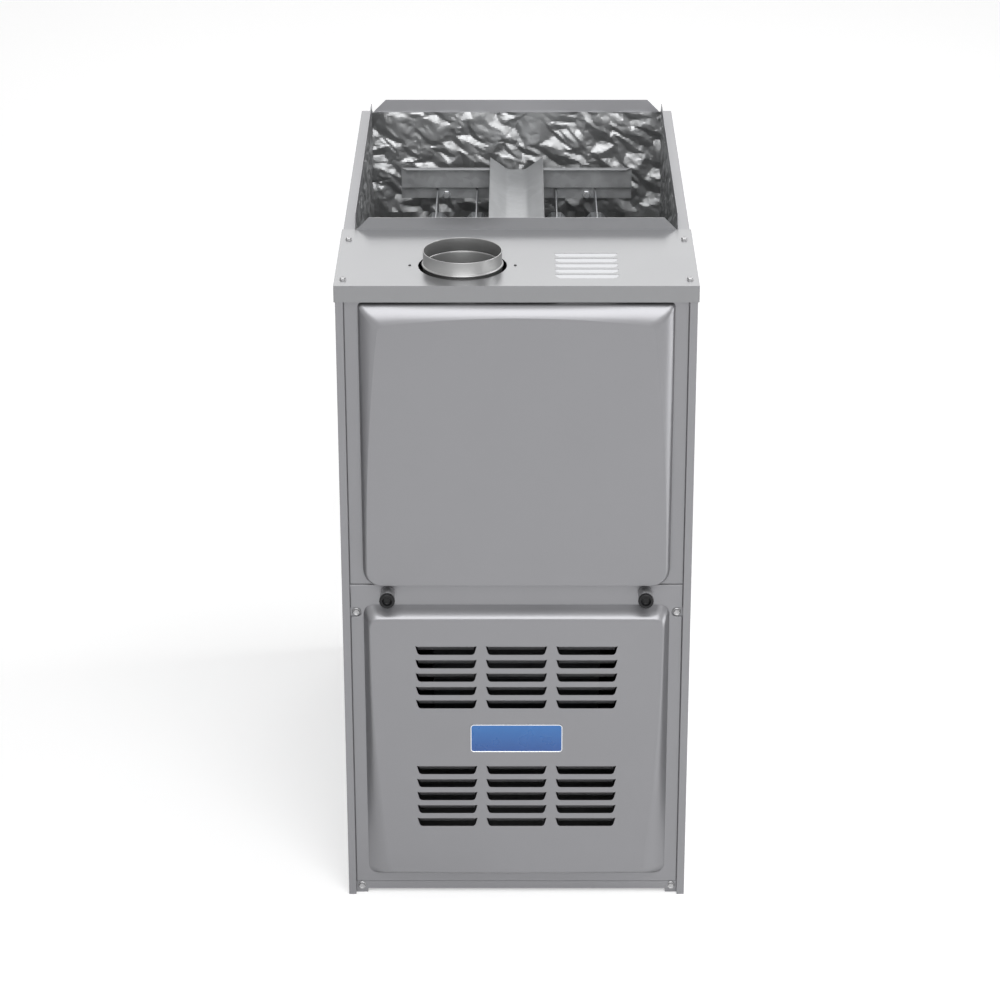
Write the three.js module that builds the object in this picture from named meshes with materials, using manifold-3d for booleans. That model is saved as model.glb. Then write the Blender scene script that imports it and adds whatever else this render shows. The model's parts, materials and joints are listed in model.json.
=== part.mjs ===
// Upflow forced-air gas furnace: sheet-steel cabinet, two pull-off doors, clamshell heat
// exchanger with in-shot burners and induced draft, and a scroll blower underneath.
// Millimetres, +Z up. Inside the cabinet group y is the depth behind the front plane of the
// casing, x = 0 is the middle and z = 0 the floor. The last group moves the origin to the
// middle of the footprint.

import * as THREE from 'three';
import { mergeVertices } from 'three/addons/utils/BufferGeometryUtils.js';
import Module from 'manifold-3d';

// ---- driving dimensions ---------------------------------------------------------------

const WIDTH = 444.5;              // 17-1/2 in casing
const HEIGHT = 857;               // floor to the top panel
const DEPTH = 746;                // front plane to the back
const SHEET = 1;                  // casing steel
const GAP = 0.3;                  // air left between pieces that touch
const FRONT_TO_MIDDLE = 361;      // front plane to the middle of the overall depth

const HALF = WIDTH / 2;
const INNER = HALF - SHEET - GAP;            // half width of what sits between the sides
const BODY_TOP = HEIGHT - SHEET - GAP;       // top of the side panels, under the top panel

const TOP_DEPTH = 213;            // top panel, front edge to its duct flange
const TOP_LIP = 1.6;              // how far the top panel stands out over the casing
const TOP_FLANGE = 21.4;          // its front flange
const TOP_SIDE_FLANGE = 12;
const DUCT_FLANGE = 16;           // upstand round the supply opening
const DUCT_HALF = 206.7;          // half width between the side duct flanges
const BACK_FLANGE_Y = 742.6;

const STRIP = 9.65;               // front return beside the doors
const BEHIND_DOOR = 5;            // front of what lies level with the doors' sheet
const FOOT_FRONT = 10;            // where the side flanges start, behind the front return
const SEAT_INNER = 197;           // inner edge of the flange that the doors lie on
const SEAT_Y = 6.3;
const FOOT = 15;                  // flange that the casing stands on
const FLANGE_END = 2;             // gap at both ends of a duct flange
const JOGGLE = 0.5;               // step down in the sides under the top panel
const RETURN_MARK = { y: [84, 662], z: [48, 416], depth: 0.4 };

const DOOR_HALF = 212;
const DOOR_Y = 4;                 // front of the doors' flat edge
const HEM = 2;                    // folded edge of a door
const FACE_Y = -12;               // front of both pressed faces
const UPPER_DOOR = { low: 453, high: 835.2 };
const LOWER_DOOR = { low: 17.7, high: 452 };

const KNOB = { x: 164, z: 441, radius: 10, front: -24, shank: 4.2 };
const NOTCH = { x: 204.8, upperZ: 413.2, lowerZ: 11.5, radius: 6.2, screw: 2 };
const BADGE = { halfX: 59.5, z: 240.3, halfZ: 20, thick: 1.2, corner: 4.5 };

const DOOR_SLOTS = {
  width: 78.6, length: 12.4, taper: 3.4, corner: 4, pitchX: 90.2, pitchZ: 19.25,
  rows: 5, columns: 3, tops: [372.6, 199.5],
};
const TOP_SLOTS = {
  width: 79, length: 13.5, taper: 2.5, corner: 4, x: 87, firstY: 119.8, pitch: 19.95, count: 5,
};
const SLOT_BEND = THREE.MathUtils.degToRad(57);   // louvre tongues, from the face

const FLUE = { x: -67, y: 74, hole: 55.3, outer: 49.25, wall: 1.2, rise: 20, low: 804, bead: 1.8 };

const DECK_Z = 452.5;             // shelf between blower and burners
const RAIL = { low: 404, high: 452.2, y: 7.6, topBack: 32, lowBack: 20 };
const PAN_Z = 6;                  // floor of the casing
const VEST_Y = 209;               // front of the partition that carries the heat exchanger
const LINER = 12;                 // foil-faced insulation
const LINER_TOP = 853;

const CELL = {
  pitch: 56, count: 5, seam: 1.6, bulge: 13, low: 464, high: 767, back: 688,
  firstPass: 494, passPitch: 76, passHalf: 24, rearBend: 616, frontBend: 285, cup: 22, wall: 1.2,
};
const CELL_FRONT = VEST_Y + SHEET + GAP;                // cells, trough and side lining start here
const PORT_Z = CELL.firstPass;                          // burner ports
const OUTLET_Z = CELL.firstPass + 3 * CELL.passPitch;   // exhaust ports
const PORT = { radius: 19, halfX: 9, halfZ: 19 };       // round for a burner, square for exhaust
const TROUGH = { edge: 38, floor: 13, top: 54, bottom: 73, end: 692 };
const BRACKET = {
  half: 163.3, y: 655, lip: 58, reach: 9, mitre: 8, web: 87.5, low: 105.5, step: 9,
  nutX: 99.5, nut: 100.5, nutRadius: 4.6, nutDeep: 5,
};

const WHEEL = { y: 480, z: 235, radius: 127, depth: 19, half: 101.5, blades: 24, rim: 4 };
const SCROLL = { far: 213, near: 140, half: 115, inlet: 106, wall: 1.2, sweep: 250 };
const MOTOR = { radius: 68, from: 22, to: 152, bore: 66 };
const SHAFT = 6.35;               // blower shaft radius, half an inch across

const INDUCER = {
  x: -19, z: 700, far: 95, near: 62, sweep: 270, front: 49, back: 99, wall: 1.2, shaft: 4,
  wheel: 50, motor: 36, motorFront: 12,
};
const COLLECTOR = { half: 140, low: 695, high: 752, front: 150, wall: 1.2, rim: 8, throat: 24 };
const SHELF = { half: 142, front: 104, saddle: 118 };
const PROBE_Y = 203;              // igniter and flame sensor, in front of the burner ports
const TAP = 84;                   // end of the inducer's pressure tap, from its shaft
const NECK = { halfX: 47, low: 766, square: 770, round: 800, high: 822 };
const MANIFOLD = { y: 50, radius: 10.5, left: -140, right: 128 };
const VALVE = { x: [145, 200], y: [24, 84], z: [464, 528], knobX: 172, knobZ: 503 };
const GAS_ENTRY = 19;             // hole for the gas pipe in the right side
const LIMIT = { x: -168, z: 650, probe: 4, tip: 262 };
const ROLLOUT = { x: 168, z: 545, front: 194, button: 2.4 };
const PRESSURE = { x: 150, z: 655, y: 180, tapX: 12, tapZ: 8 };
const TAP_LENGTH = 10;

const SWITCH = { x: 60, z: 438, plunger: 2.6, half: 12, deep: 24 };
const TRAY = { y: 84, right: 48, low: 346, high: 450 };
const BOARD = { left: -198, low: 352, width: 130, height: 92, standoff: 6 };
const TRANSFORMER = { x: 4, low: 376, height: 66 };

// ---- finishes -------------------------------------------------------------------------

const finish = (color, metalness, roughness) =>
  new THREE.MeshStandardMaterial({ color, metalness, roughness });

const PAINT = finish(0x97979b, 0.35, 0.42);
const TOP_PAINT = finish(0xc3c4c7, 0.35, 0.38);
const GALVANISED = finish(0xb4b8bb, 0.85, 0.38);
const ALUMINISED = finish(0x9a9c9e, 0.8, 0.45);
const FOIL = finish(0xa9abad, 0.9, 0.3);
const BLACK = finish(0x17181a, 0, 0.55);
const BLUE = finish(0x1f63b8, 0.1, 0.35);
const STEEL = finish(0xaeb0b2, 0.9, 0.35);
const DARK = finish(0x3a3c3f, 0.5, 0.55);
const GREEN = finish(0x1d5a37, 0, 0.5);
const CERAMIC = finish(0xd8d2c2, 0, 0.8);
const RUBBER = finish(0x202124, 0, 0.8);
const RED = finish(0xb02418, 0, 0.4);

// ---- solids ---------------------------------------------------------------------------

const STEP = 1 / 2048;            // coordinates are rounded to this

const wasm = await Module();
wasm.setup();

// Six times the volume that a mesh's faces enclose. It is negative when they point inwards.
function signedVolume(position, index) {
  const [a, b, c] = [new THREE.Vector3(), new THREE.Vector3(), new THREE.Vector3()];
  let sum = 0;
  for (let i = 0; i < index.length; i += 3) {
    a.fromArray(position, 3 * index[i]);
    b.fromArray(position, 3 * index[i + 1]);
    c.fromArray(position, 3 * index[i + 2]);
    sum += a.dot(b.cross(c));
  }
  return sum;
}

// Coordinates are rounded to a step that 32-bit numbers hold exactly, so that faces which
// should lie in one plane do.
function toSolid(geometry) {
  geometry.deleteAttribute('normal');
  geometry.deleteAttribute('uv');
  const points = geometry.attributes.position.array;
  for (let i = 0; i < points.length; i++) points[i] = Math.round(points[i] / STEP) * STEP;
  const merged = mergeVertices(geometry, STEP / 2);
  const position = merged.attributes.position.array;
  const triangles = [];
  for (let i = 0; i < merged.index.count; i += 3) {
    const corners = [0, 1, 2].map((k) => merged.index.getX(i + k));
    if (new Set(corners).size === 3) triangles.push(...corners);
  }
  if (signedVolume(position, triangles) < 0) triangles.reverse();
  return new wasm.Manifold(new wasm.Mesh({
    numProp: 3,
    vertProperties: Float32Array.from(position),
    triVerts: Uint32Array.from(triangles),
  }));
}

function toGeometry(solid) {
  const mesh = solid.getMesh();
  const geometry = new THREE.BufferGeometry();
  geometry.setAttribute('position', new THREE.BufferAttribute(mesh.vertProperties, 3));
  geometry.setIndex(new THREE.BufferAttribute(mesh.triVerts, 1));
  geometry.computeVertexNormals();
  return geometry;
}

const join = (first, ...others) => others.reduce((sum, solid) => sum.add(solid), first);
const cut = (body, ...tools) => tools.reduce((rest, tool) => rest.subtract(tool), body);
const range = (count) => [...Array(count).keys()];

// A box between two values of x, y and z, each pair in either order.
function slab(x, y, z) {
  const size = [x, y, z].map(([a, b]) => Math.abs(b - a));
  const middle = [x, y, z].map(([a, b]) => (a + b) / 2);
  return toSolid(new THREE.BoxGeometry(...size).translate(...middle));
}

// Where an outline's u and v and its thickness point, for a piece that runs along X, Y or Z.
const BASIS = {
  x: [[0, 1, 0], [0, 0, 1], [1, 0, 0]],
  y: [[1, 0, 0], [0, 0, 1], [0, -1, 0]],
  z: [[1, 0, 0], [0, 1, 0], [0, 0, 1]],
};

// Turns a geometry made along its own Z onto an axis, after moving its start to "from".
function alongAxis(axis, geometry, from, length) {
  geometry.translate(0, 0, axis === 'y' ? -from - length : from);
  const columns = BASIS[axis].map((column) => new THREE.Vector3(...column));
  return geometry.applyMatrix4(new THREE.Matrix4().makeBasis(...columns));
}

// An outline extruded along an axis. Its u and v are the other two axes, in X, Y, Z order.
function prism(axis, shape, from, to, curveSegments = 6) {
  const options = { depth: to - from, bevelEnabled: false, curveSegments };
  return toSolid(alongAxis(axis, new THREE.ExtrudeGeometry(shape, options), from, to - from));
}

// A round bar along an axis, centred on (u, v) of the other two axes.
function bar(axis, u, v, radius, from, to, sides = 20) {
  const geometry = new THREE.CylinderGeometry(radius, radius, to - from, sides);
  geometry.rotateX(Math.PI / 2);
  geometry.translate(u, v, (to - from) / 2);
  return toSolid(alongAxis(axis, geometry, from, to - from));
}

// A bar that is long enough to bore through a sheet whose face is at "at".
function drill(axis, u, v, radius, at, sides = 20) {
  return bar(axis, u, v, radius, at - 3 * SHEET, at + 3 * SHEET, sides);
}

// A turned piece: a closed profile of [radius, place on the axis], turned round (u, v).
function turned(axis, u, v, profile, sides = 24) {
  const points = [...profile, profile[0]].map(([r, along]) => new THREE.Vector2(r, along));
  const geometry = new THREE.LatheGeometry(points, sides);
  geometry.rotateX(Math.PI / 2);
  if (axis === 'y') geometry.scale(1, 1, -1);
  geometry.translate(u, v, 0);
  return toSolid(alongAxis(axis, geometry, 0, 0));
}

function polygon(...points) {
  return new THREE.Shape(points.map(([u, v]) => new THREE.Vector2(u, v)));
}

// A closed shell over rings of equal point counts. The two ends are convex and get a fan.
function loft(rings) {
  const size = rings[0].length;
  const points = rings.flat();
  const triangles = [];
  for (const ring of range(rings.length - 1)) {
    for (const i of range(size)) {
      const a = ring * size + i;
      const b = ring * size + (i + 1) % size;
      triangles.push(a, b, b + size, a, b + size, a + size);
    }
  }
  const ends = [[0, 1], [(rings.length - 1) * size, -1]];
  for (const [start, turn] of ends) {
    for (const i of range(size - 2)) {
      const fan = [start, start + i + 2, start + i + 1];
      triangles.push(...(turn > 0 ? fan : fan.reverse()));
    }
  }
  const geometry = new THREE.BufferGeometry().setFromPoints(points);
  geometry.setIndex(triangles);
  return toSolid(geometry);
}

// ---- sheet-metal forms ----------------------------------------------------------------

// A slot's outline: straight hinge edge at v = 0, tapering to rounded corners at v = length.
function slotOutline({ width, length: end, taper, corner }) {
  const top = width / 2;
  const low = top - taper;
  const shape = new THREE.Shape();
  shape.moveTo(-top, 0);
  shape.lineTo(top, 0);
  shape.lineTo(low + taper * corner / end, end - corner);
  shape.quadraticCurveTo(low, end, low - corner, end);
  shape.lineTo(corner - low, end);
  shape.quadraticCurveTo(-low, end, -low - taper * corner / end, end - corner);
  return shape;
}

function tongueOutline({ width, length, taper }) {
  const top = width / 2 - GAP;
  const low = top - taper;
  return polygon([-top, 0], [top, 0], [low, length], [-low, length]);
}

// Louvre cutter and its bent tongue, hinged on the X axis, +Y down the slot, +Z behind the face.
function louvre(slots, place) {
  const flat = (shape, depth) =>
    new THREE.ExtrudeGeometry(shape, { depth, bevelEnabled: false, curveSegments: 1 });
  const cutter = flat(slotOutline(slots), 4 * SHEET).translate(0, 0, -SHEET);
  const tongue = flat(tongueOutline(slots), SHEET).rotateX(SLOT_BEND);
  const bite = 0.15;
  tongue.translate(0, -bite, bite);
  return [cutter, tongue].map((geometry) => toSolid(geometry.applyMatrix4(place)));
}

// Cuts the slots out of a panel and adds the tongues, at places given as matrices.
function withLouvres(panel, slots, places) {
  const pairs = places.map((place) => louvre(slots, place));
  const open = cut(panel, ...pairs.map(([cutter]) => cutter));
  return join(open, ...pairs.map(([, tongue]) => tongue));
}

// A duct flange: an upright sheet with 45 degree ends, on a face at right angles to "axis".
function ductFlange(axis, centre, halfLength, from, low) {
  const high = HEIGHT + DUCT_FLANGE;
  const rise = high - HEIGHT + SHEET;
  const shape = polygon(
    [centre - halfLength, low],
    [centre + halfLength, low],
    [centre + halfLength, HEIGHT - SHEET],
    [centre + halfLength - rise, high],
    [centre - halfLength + rise, high],
    [centre - halfLength, HEIGHT - SHEET],
  );
  return prism(axis, shape, from, from + SHEET);
}

// ---- cabinet --------------------------------------------------------------------------

// The part of the side that lies under the top panel is stepped down, and a shallow pressed
// field marks where a side return-air opening may be cut.
function sidePanel(side) {
  const x = (a, b) => [side * a, side * b];
  const underTop = TOP_DEPTH + GAP;
  const stripZ = (down) => [BODY_TOP - SHEET - down, BODY_TOP - down];
  const flangeMiddle = (TOP_DEPTH + BACK_FLANGE_Y) / 2;
  const flangeHalf = (BACK_FLANGE_Y - TOP_DEPTH) / 2 - FLANGE_END;
  const flangeX = side > 0 ? DUCT_HALF : -DUCT_HALF - SHEET;
  const panel = join(
    slab(x(HALF - SHEET, HALF), [0, DEPTH], [0, BODY_TOP]),
    slab(x(HALF - STRIP, HALF), [0, SHEET], [0, BODY_TOP]),
    slab(x(HALF - STRIP, HALF - STRIP + SHEET), [0, SEAT_Y + SHEET], [0, BODY_TOP]),
    slab(x(SEAT_INNER, HALF - STRIP + SHEET), [SEAT_Y, SEAT_Y + SHEET], [0, BODY_TOP]),
    slab(x(HALF - FOOT, HALF), [FOOT_FRONT, DEPTH], [0, SHEET]),
    slab(x(DUCT_HALF, HALF), [FOOT_FRONT, underTop], stripZ(JOGGLE)),
    slab(x(DUCT_HALF, HALF), [underTop, DEPTH], stripZ(0)),
    ductFlange('x', flangeMiddle, flangeHalf, flangeX, BODY_TOP - SHEET),
  );
  const cuts = [NOTCH.upperZ, NOTCH.lowerZ].map((z) =>
    drill('y', side * NOTCH.x, z, NOTCH.screw + GAP, SEAT_Y, 10));
  cuts.push(
    slab(x(SEAT_INNER - 1, HALF + 1), [-1, underTop], [BODY_TOP - JOGGLE, BODY_TOP + 1]),
    slab(x(HALF - RETURN_MARK.depth, HALF + 1), RETURN_MARK.y, RETURN_MARK.z),
  );
  if (side > 0) cuts.push(drill('x', MANIFOLD.y, PORT_Z, GAS_ENTRY, HALF, 20));
  return cut(panel, ...cuts);
}

function backPanel() {
  const wallTop = BODY_TOP - SHEET - GAP;
  const stripHalf = DUCT_HALF - GAP;
  const footHalf = HALF - FOOT - GAP;
  const neck = wallTop - SHEET;
  return join(
    slab([-INNER, INNER], [DEPTH - SHEET, DEPTH], [SHEET + GAP, wallTop]),
    slab([-stripHalf, stripHalf], [BACK_FLANGE_Y, DEPTH], [neck, wallTop]),
    ductFlange('y', 0, stripHalf - FLANGE_END, BACK_FLANGE_Y, neck),
    slab([-footHalf, footHalf], [DEPTH - FOOT, DEPTH], [0, SHEET]),
    slab([-footHalf, footHalf], [DEPTH - SHEET, DEPTH], [0, FOOT / 3]),
  );
}

function topPanel() {
  const half = HALF + TOP_LIP;
  const front = -TOP_LIP;
  const deep = TOP_DEPTH;
  const sheet = join(
    slab([-half, half], [front, deep], [HEIGHT - SHEET, HEIGHT]),
    slab([-half, half], [front, front + SHEET], [HEIGHT - TOP_FLANGE, HEIGHT]),
    slab([-half, SHEET - half], [front, deep], [HEIGHT - TOP_SIDE_FLANGE, HEIGHT]),
    slab([half - SHEET, half], [front, deep], [HEIGHT - TOP_SIDE_FLANGE, HEIGHT]),
    ductFlange('y', 0, DUCT_HALF - GAP, deep - SHEET, HEIGHT - SHEET),
  );
  const flueHole = drill('z', FLUE.x, FLUE.y, FLUE.hole, HEIGHT, 32);
  const places = range(TOP_SLOTS.count).map((row) => new THREE.Matrix4().set(
    1, 0, 0, TOP_SLOTS.x,
    0, -1, 0, TOP_SLOTS.firstY - row * TOP_SLOTS.pitch,
    0, 0, -1, HEIGHT,
    0, 0, 0, 1,
  ));
  return withLouvres(cut(sheet, flueHole), TOP_SLOTS, places);
}

// Floor of the casing, with the front strip that shows under the blower door.
function basePan() {
  const deep = DEPTH - SHEET - GAP;
  const front = BEHIND_DOOR;
  const seatHalf = SEAT_INNER - GAP;
  const pan = join(
    slab([-DOOR_HALF, DOOR_HALF], [front, front + SHEET], [PAN_Z, LOWER_DOOR.low - 2 * GAP]),
    slab([-seatHalf, seatHalf], [front, RAIL.y + SHEET], [PAN_Z, PAN_Z + SHEET]),
    slab([-INNER, INNER], [RAIL.y, deep], [PAN_Z, PAN_Z + SHEET]),
  );
  const notches = [-1, 1].map((side) =>
    bar('y', side * NOTCH.x, NOTCH.lowerZ, NOTCH.screw + GAP, 0, SEAT_Y - 0.1, 12));
  return cut(pan, ...notches);
}

// Channel behind the joint of the two doors. The door knobs screw into it.
function crossRail() {
  const channel = join(
    slab([-INNER, INNER], [RAIL.y, RAIL.y + SHEET], [RAIL.low, RAIL.high]),
    slab([-INNER, INNER], [RAIL.y, RAIL.topBack], [RAIL.high - SHEET, RAIL.high]),
    slab([-INNER, INNER], [RAIL.y, RAIL.lowBack], [RAIL.low, RAIL.low + SHEET]),
  );
  const hole = (x, z, radius) => drill('y', x, z, radius, RAIL.y, 14);
  return cut(
    channel,
    hole(-KNOB.x, KNOB.z, KNOB.shank + 0.8),
    hole(KNOB.x, KNOB.z, KNOB.shank + 0.8),
    hole(-NOTCH.x, NOTCH.upperZ, NOTCH.screw + GAP),
    hole(NOTCH.x, NOTCH.upperZ, NOTCH.screw + GAP),
    hole(SWITCH.x, SWITCH.z, SWITCH.plunger + 0.8),
  );
}

function blowerDeck() {
  const deep = DEPTH - SHEET - GAP;
  const plate = join(
    slab([-INNER, INNER], [RAIL.y, deep], [DECK_Z, DECK_Z + SHEET]),
    slab([-INNER, INNER], [deep - SHEET, deep], [DECK_Z - FOOT + SHEET, DECK_Z + SHEET]),
  );
  const edge = 6;
  const outlet = slab(
    [edge - SCROLL.half, SCROLL.half - edge],
    [WHEEL.y - SCROLL.far + edge, scrollMouth() - edge],
    [DECK_Z - SHEET, DECK_Z + 2 * SHEET],
  );
  return cut(plate, outlet);
}

// Partition in front of the heat exchanger, with its burner, exhaust and limit-probe ports.
function vestibulePanel() {
  const high = BODY_TOP - JOGGLE - SHEET - GAP;
  const panel = slab([-INNER, INNER], [VEST_Y, VEST_Y + SHEET], [DECK_Z + SHEET + GAP, high]);
  const ports = cellPlaces().flatMap((x) => [
    drill('y', x, PORT_Z, PORT.radius, VEST_Y, 16),
    exhaustPort(x, VEST_Y - 1, VEST_Y + 2),
  ]);
  return cut(panel, ...ports, drill('y', LIMIT.x, LIMIT.z, LIMIT.probe + 1.2, VEST_Y, 12));
}

function sideLiner(side) {
  return slab(
    [side * (INNER - LINER), side * INNER],
    [CELL_FRONT, DEPTH - SHEET - GAP],
    [DECK_Z + SHEET + GAP, LINER_TOP],
  );
}

function backLiner() {
  const half = INNER - LINER - GAP;
  const back = DEPTH - SHEET - GAP;
  return slab([-half, half], [back - LINER, back], [DECK_Z + SHEET + GAP, LINER_TOP]);
}

// ---- heat exchanger -------------------------------------------------------------------

function cellPlaces() {
  return range(CELL.count).map((i) => (i - (CELL.count - 1) / 2) * CELL.pitch);
}

function exhaustPort(x, from, to) {
  const { halfX, halfZ } = PORT;
  return slab([x - halfX, x + halfX], [from, to], [OUTLET_Z - halfZ, OUTLET_Z + halfZ]);
}

// The pressed gas passage: four level passes joined by three half-round bends. An inset
// gives the passage's inner face.
function passageOutline(inset) {
  const { firstPass, passPitch, rearBend, frontBend } = CELL;
  const front = CELL_FRONT + inset;
  const passHalf = CELL.passHalf - inset;
  const outer = passPitch / 2 + passHalf;
  const inner = passPitch / 2 - passHalf;
  const bend = (n) => firstPass + (n + 0.5) * passPitch;
  const quarter = Math.PI / 2;
  const shape = new THREE.Shape();
  shape.moveTo(front, firstPass - passHalf);
  shape.absarc(rearBend, bend(0), outer, -quarter, quarter, false);
  shape.absarc(frontBend, bend(1), inner, -quarter, quarter, true);
  shape.absarc(rearBend, bend(2), outer, -quarter, quarter, false);
  shape.lineTo(front, firstPass + 3 * passPitch + passHalf);
  shape.lineTo(front, firstPass + 3 * passPitch - passHalf);
  shape.absarc(rearBend, bend(2), inner, quarter, -quarter, true);
  shape.absarc(frontBend, bend(1), outer, quarter, -quarter, false);
  shape.absarc(rearBend, bend(0), inner, quarter, -quarter, true);
  shape.lineTo(front, firstPass + passHalf);
  return shape;
}

// The passage as a solid: its whole outside, or with an inset the space inside it.
function passage(x, inset) {
  const bevel = 6;
  const depth = 2 * (CELL.bulge - inset - bevel);
  const pressed = new THREE.ExtrudeGeometry(passageOutline(inset), {
    depth, bevelEnabled: true, bevelThickness: bevel, bevelSize: bevel, bevelOffset: -bevel,
    bevelSegments: 1, curveSegments: 2,
  });
  return toSolid(alongAxis('x', pressed, x - depth / 2, depth));
}

// Two pressed halves seamed together. The passage between them is open at both ports.
function exchangerCell(x) {
  const mouth = 30;
  const seam = slab(
    [x - CELL.seam / 2, x + CELL.seam / 2],
    [CELL_FRONT, CELL.back],
    [CELL.low, CELL.high],
  );
  const cup = bar('y', x, PORT_Z, CELL.cup, CELL_FRONT, CELL_FRONT + mouth, 16);
  const inside = [
    passage(x, CELL.wall),
    bar('y', x, PORT_Z, CELL.cup - 2.5, CELL_FRONT - 1, CELL_FRONT + mouth - 2, 16),
    exhaustPort(x, CELL_FRONT - 1, CELL_FRONT + mouth),
  ];
  return cut(join(passage(x, 0), seam, cup), ...inside);
}

// Open trough that lies over the middle cell and spreads the air. Section only.
function troughOutline(grow) {
  const { edge, floor, top, bottom } = TROUGH;
  return polygon(
    [-edge - grow, HEIGHT - top + grow],
    [-floor - grow, HEIGHT - bottom - grow],
    [floor + grow, HEIGHT - bottom - grow],
    [edge + grow, HEIGHT - top + grow],
  );
}

function airTrough() {
  const { edge, floor, top, bottom, end } = TROUGH;
  const slant = 0.4;
  const lip = SHEET + slant;
  const section = polygon(
    [-edge, HEIGHT - top],
    [-floor, HEIGHT - bottom],
    [floor, HEIGHT - bottom],
    [edge, HEIGHT - top],
    [edge - lip, HEIGHT - top],
    [floor - slant, HEIGHT - bottom + SHEET],
    [slant - floor, HEIGHT - bottom + SHEET],
    [lip - edge, HEIGHT - top],
  );
  return prism('y', section, CELL_FRONT, end);
}

// Rear support: a mitred lip, a web and a set-back lower web, slotted over the cells' seams.
function cellSupport() {
  const { half, y, lip, reach, mitre, web, low, step, nutX, nut, nutRadius, nutDeep } = BRACKET;
  const x = [-half, half];
  const z = (below) => HEIGHT - below;
  const through = [y - 2 * step, y + 2 * step];
  const lipOutline = polygon(
    [-half, y + SHEET], [-half, y], [mitre - half, y - reach],
    [half - mitre, y - reach], [half, y], [half, y + SHEET],
  );
  const folded = join(
    prism('z', lipOutline, z(lip + SHEET), z(lip)),
    slab(x, [y, y + SHEET], [z(web), z(lip)]),
    slab(x, [y, y + step], [z(web), z(web - SHEET)]),
    slab(x, [y + step - SHEET, y + step], [z(low), z(web - SHEET)]),
  );
  const slotHalf = CELL.seam / 2 + GAP + 0.1;
  const slots = cellPlaces().map((place) =>
    slab([place - slotHalf, place + slotHalf], through, [z(low + 5), CELL.high + GAP]));
  const seat = prism('y', troughOutline(2 * GAP), ...through);
  const nuts = [-nutX, nutX].map((place) =>
    bar('y', place, z(nut), nutRadius, y + step - nutDeep, y + step - SHEET / 2, 6));
  return join(cut(folded, ...slots, seat), ...nuts);
}

// ---- draft: collector, inducer, flue --------------------------------------------------

// Outline of a scroll whose outlet points up: the far wall is straight, then the wall winds in.
function scrollOutline(u, v, { far, near, sweep }, top, shrink = 0) {
  const steps = 16;
  const points = [[u - far + shrink, top]];
  for (const i of range(steps + 1)) {
    const angle = Math.PI + THREE.MathUtils.degToRad(sweep) * i / steps;
    const radius = far + (near - far) * i / steps - shrink;
    points.push([u + radius * Math.cos(angle), v + radius * Math.sin(angle)]);
  }
  const [lastU] = points[points.length - 1];
  points.push([lastU, top]);
  return polygon(...points);
}

function collectorBox() {
  const { half, low, high, front, wall, rim, throat } = COLLECTOR;
  const back = VEST_Y - GAP;
  const box = join(
    slab([-half, half], [front, back], [low, high]),
    slab([-half - rim, half + rim], [back - wall, back], [low - rim, high + rim]),
  );
  const hollow = slab([wall - half, half - wall], [front + wall, back + 1], [low + wall, high - wall]);
  const inlet = drill('y', INDUCER.x, (low + high) / 2, throat, front);
  return cut(box, hollow, inlet);
}

function ringOf(count, pointAt) {
  return range(count).map((i) => pointAt(i / count * 2 * Math.PI));
}

// Rectangle-to-round neck between the inducer's outlet and the flue pipe.
function outletNeck(inset) {
  const count = 20;
  const { halfX: mouthHalf, low, square, round: roundZ, high } = NECK;
  const halfX = mouthHalf - inset;
  const halfY = (INDUCER.back - INDUCER.front) / 2 - inset;
  const radius = FLUE.outer - FLUE.wall - GAP - inset;
  const boxed = (angle) => {
    const [c, s] = [Math.cos(angle), Math.sin(angle)];
    const reach = Math.min(halfX / Math.max(Math.abs(c), 1e-6), halfY / Math.max(Math.abs(s), 1e-6));
    return [FLUE.x + reach * c, FLUE.y + reach * s];
  };
  const round = (angle) => [FLUE.x + radius * Math.cos(angle), FLUE.y + radius * Math.sin(angle)];
  const level = (outline, z) => ringOf(count, (angle) => new THREE.Vector3(...outline(angle), z));
  const past = inset > 0 ? 3 : 0;
  return loft([
    level(boxed, low - past),
    level(boxed, square),
    level(round, roundZ),
    level(round, high + past),
  ]);
}

function inducerHousing() {
  const { x, z, front, back, wall, shaft } = INDUCER;
  const { throat } = COLLECTOR;
  const top = (NECK.low + NECK.square) / 2;
  const throatZ = (COLLECTOR.low + COLLECTOR.high) / 2;
  const outer = join(
    prism('y', scrollOutline(x, z, INDUCER, top), front, back),
    bar('y', x, throatZ, throat + 6, back - 1, COLLECTOR.front - GAP, 20),
    bar('x', FLUE.y, z, 3.5, x + INDUCER.near - 2, x + TAP, 10),
    outletNeck(0),
  );
  return cut(
    outer,
    prism('y', scrollOutline(x, z, INDUCER, top + 1, wall), front + wall, back - wall),
    bar('y', x, throatZ, throat, back - 3, COLLECTOR.front + 1, 20),
    drill('y', x, z, shaft + 3, front - 1, 16),
    outletNeck(wall),
  );
}

// A small wheel on its shaft: back plate, hub and straight blades.
function inducerWheel() {
  const { x, z, front, shaft, wheel: radius } = INDUCER;
  const plate = front + 7;
  const blades = range(8).map((i) => {
    const blade = new THREE.BoxGeometry(26, 30, 1.4).translate(radius - 13, plate + 15, 0);
    return toSolid(blade.rotateY(i / 8 * 2 * Math.PI).translate(x, 0, z));
  });
  return join(
    bar('y', x, z, shaft, front - 22, plate + 7, 12),
    bar('y', x, z, 9, plate - 2, plate + 13, 12),
    bar('y', x, z, radius, plate, plate + 2, 20),
    ...blades,
  );
}

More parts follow.
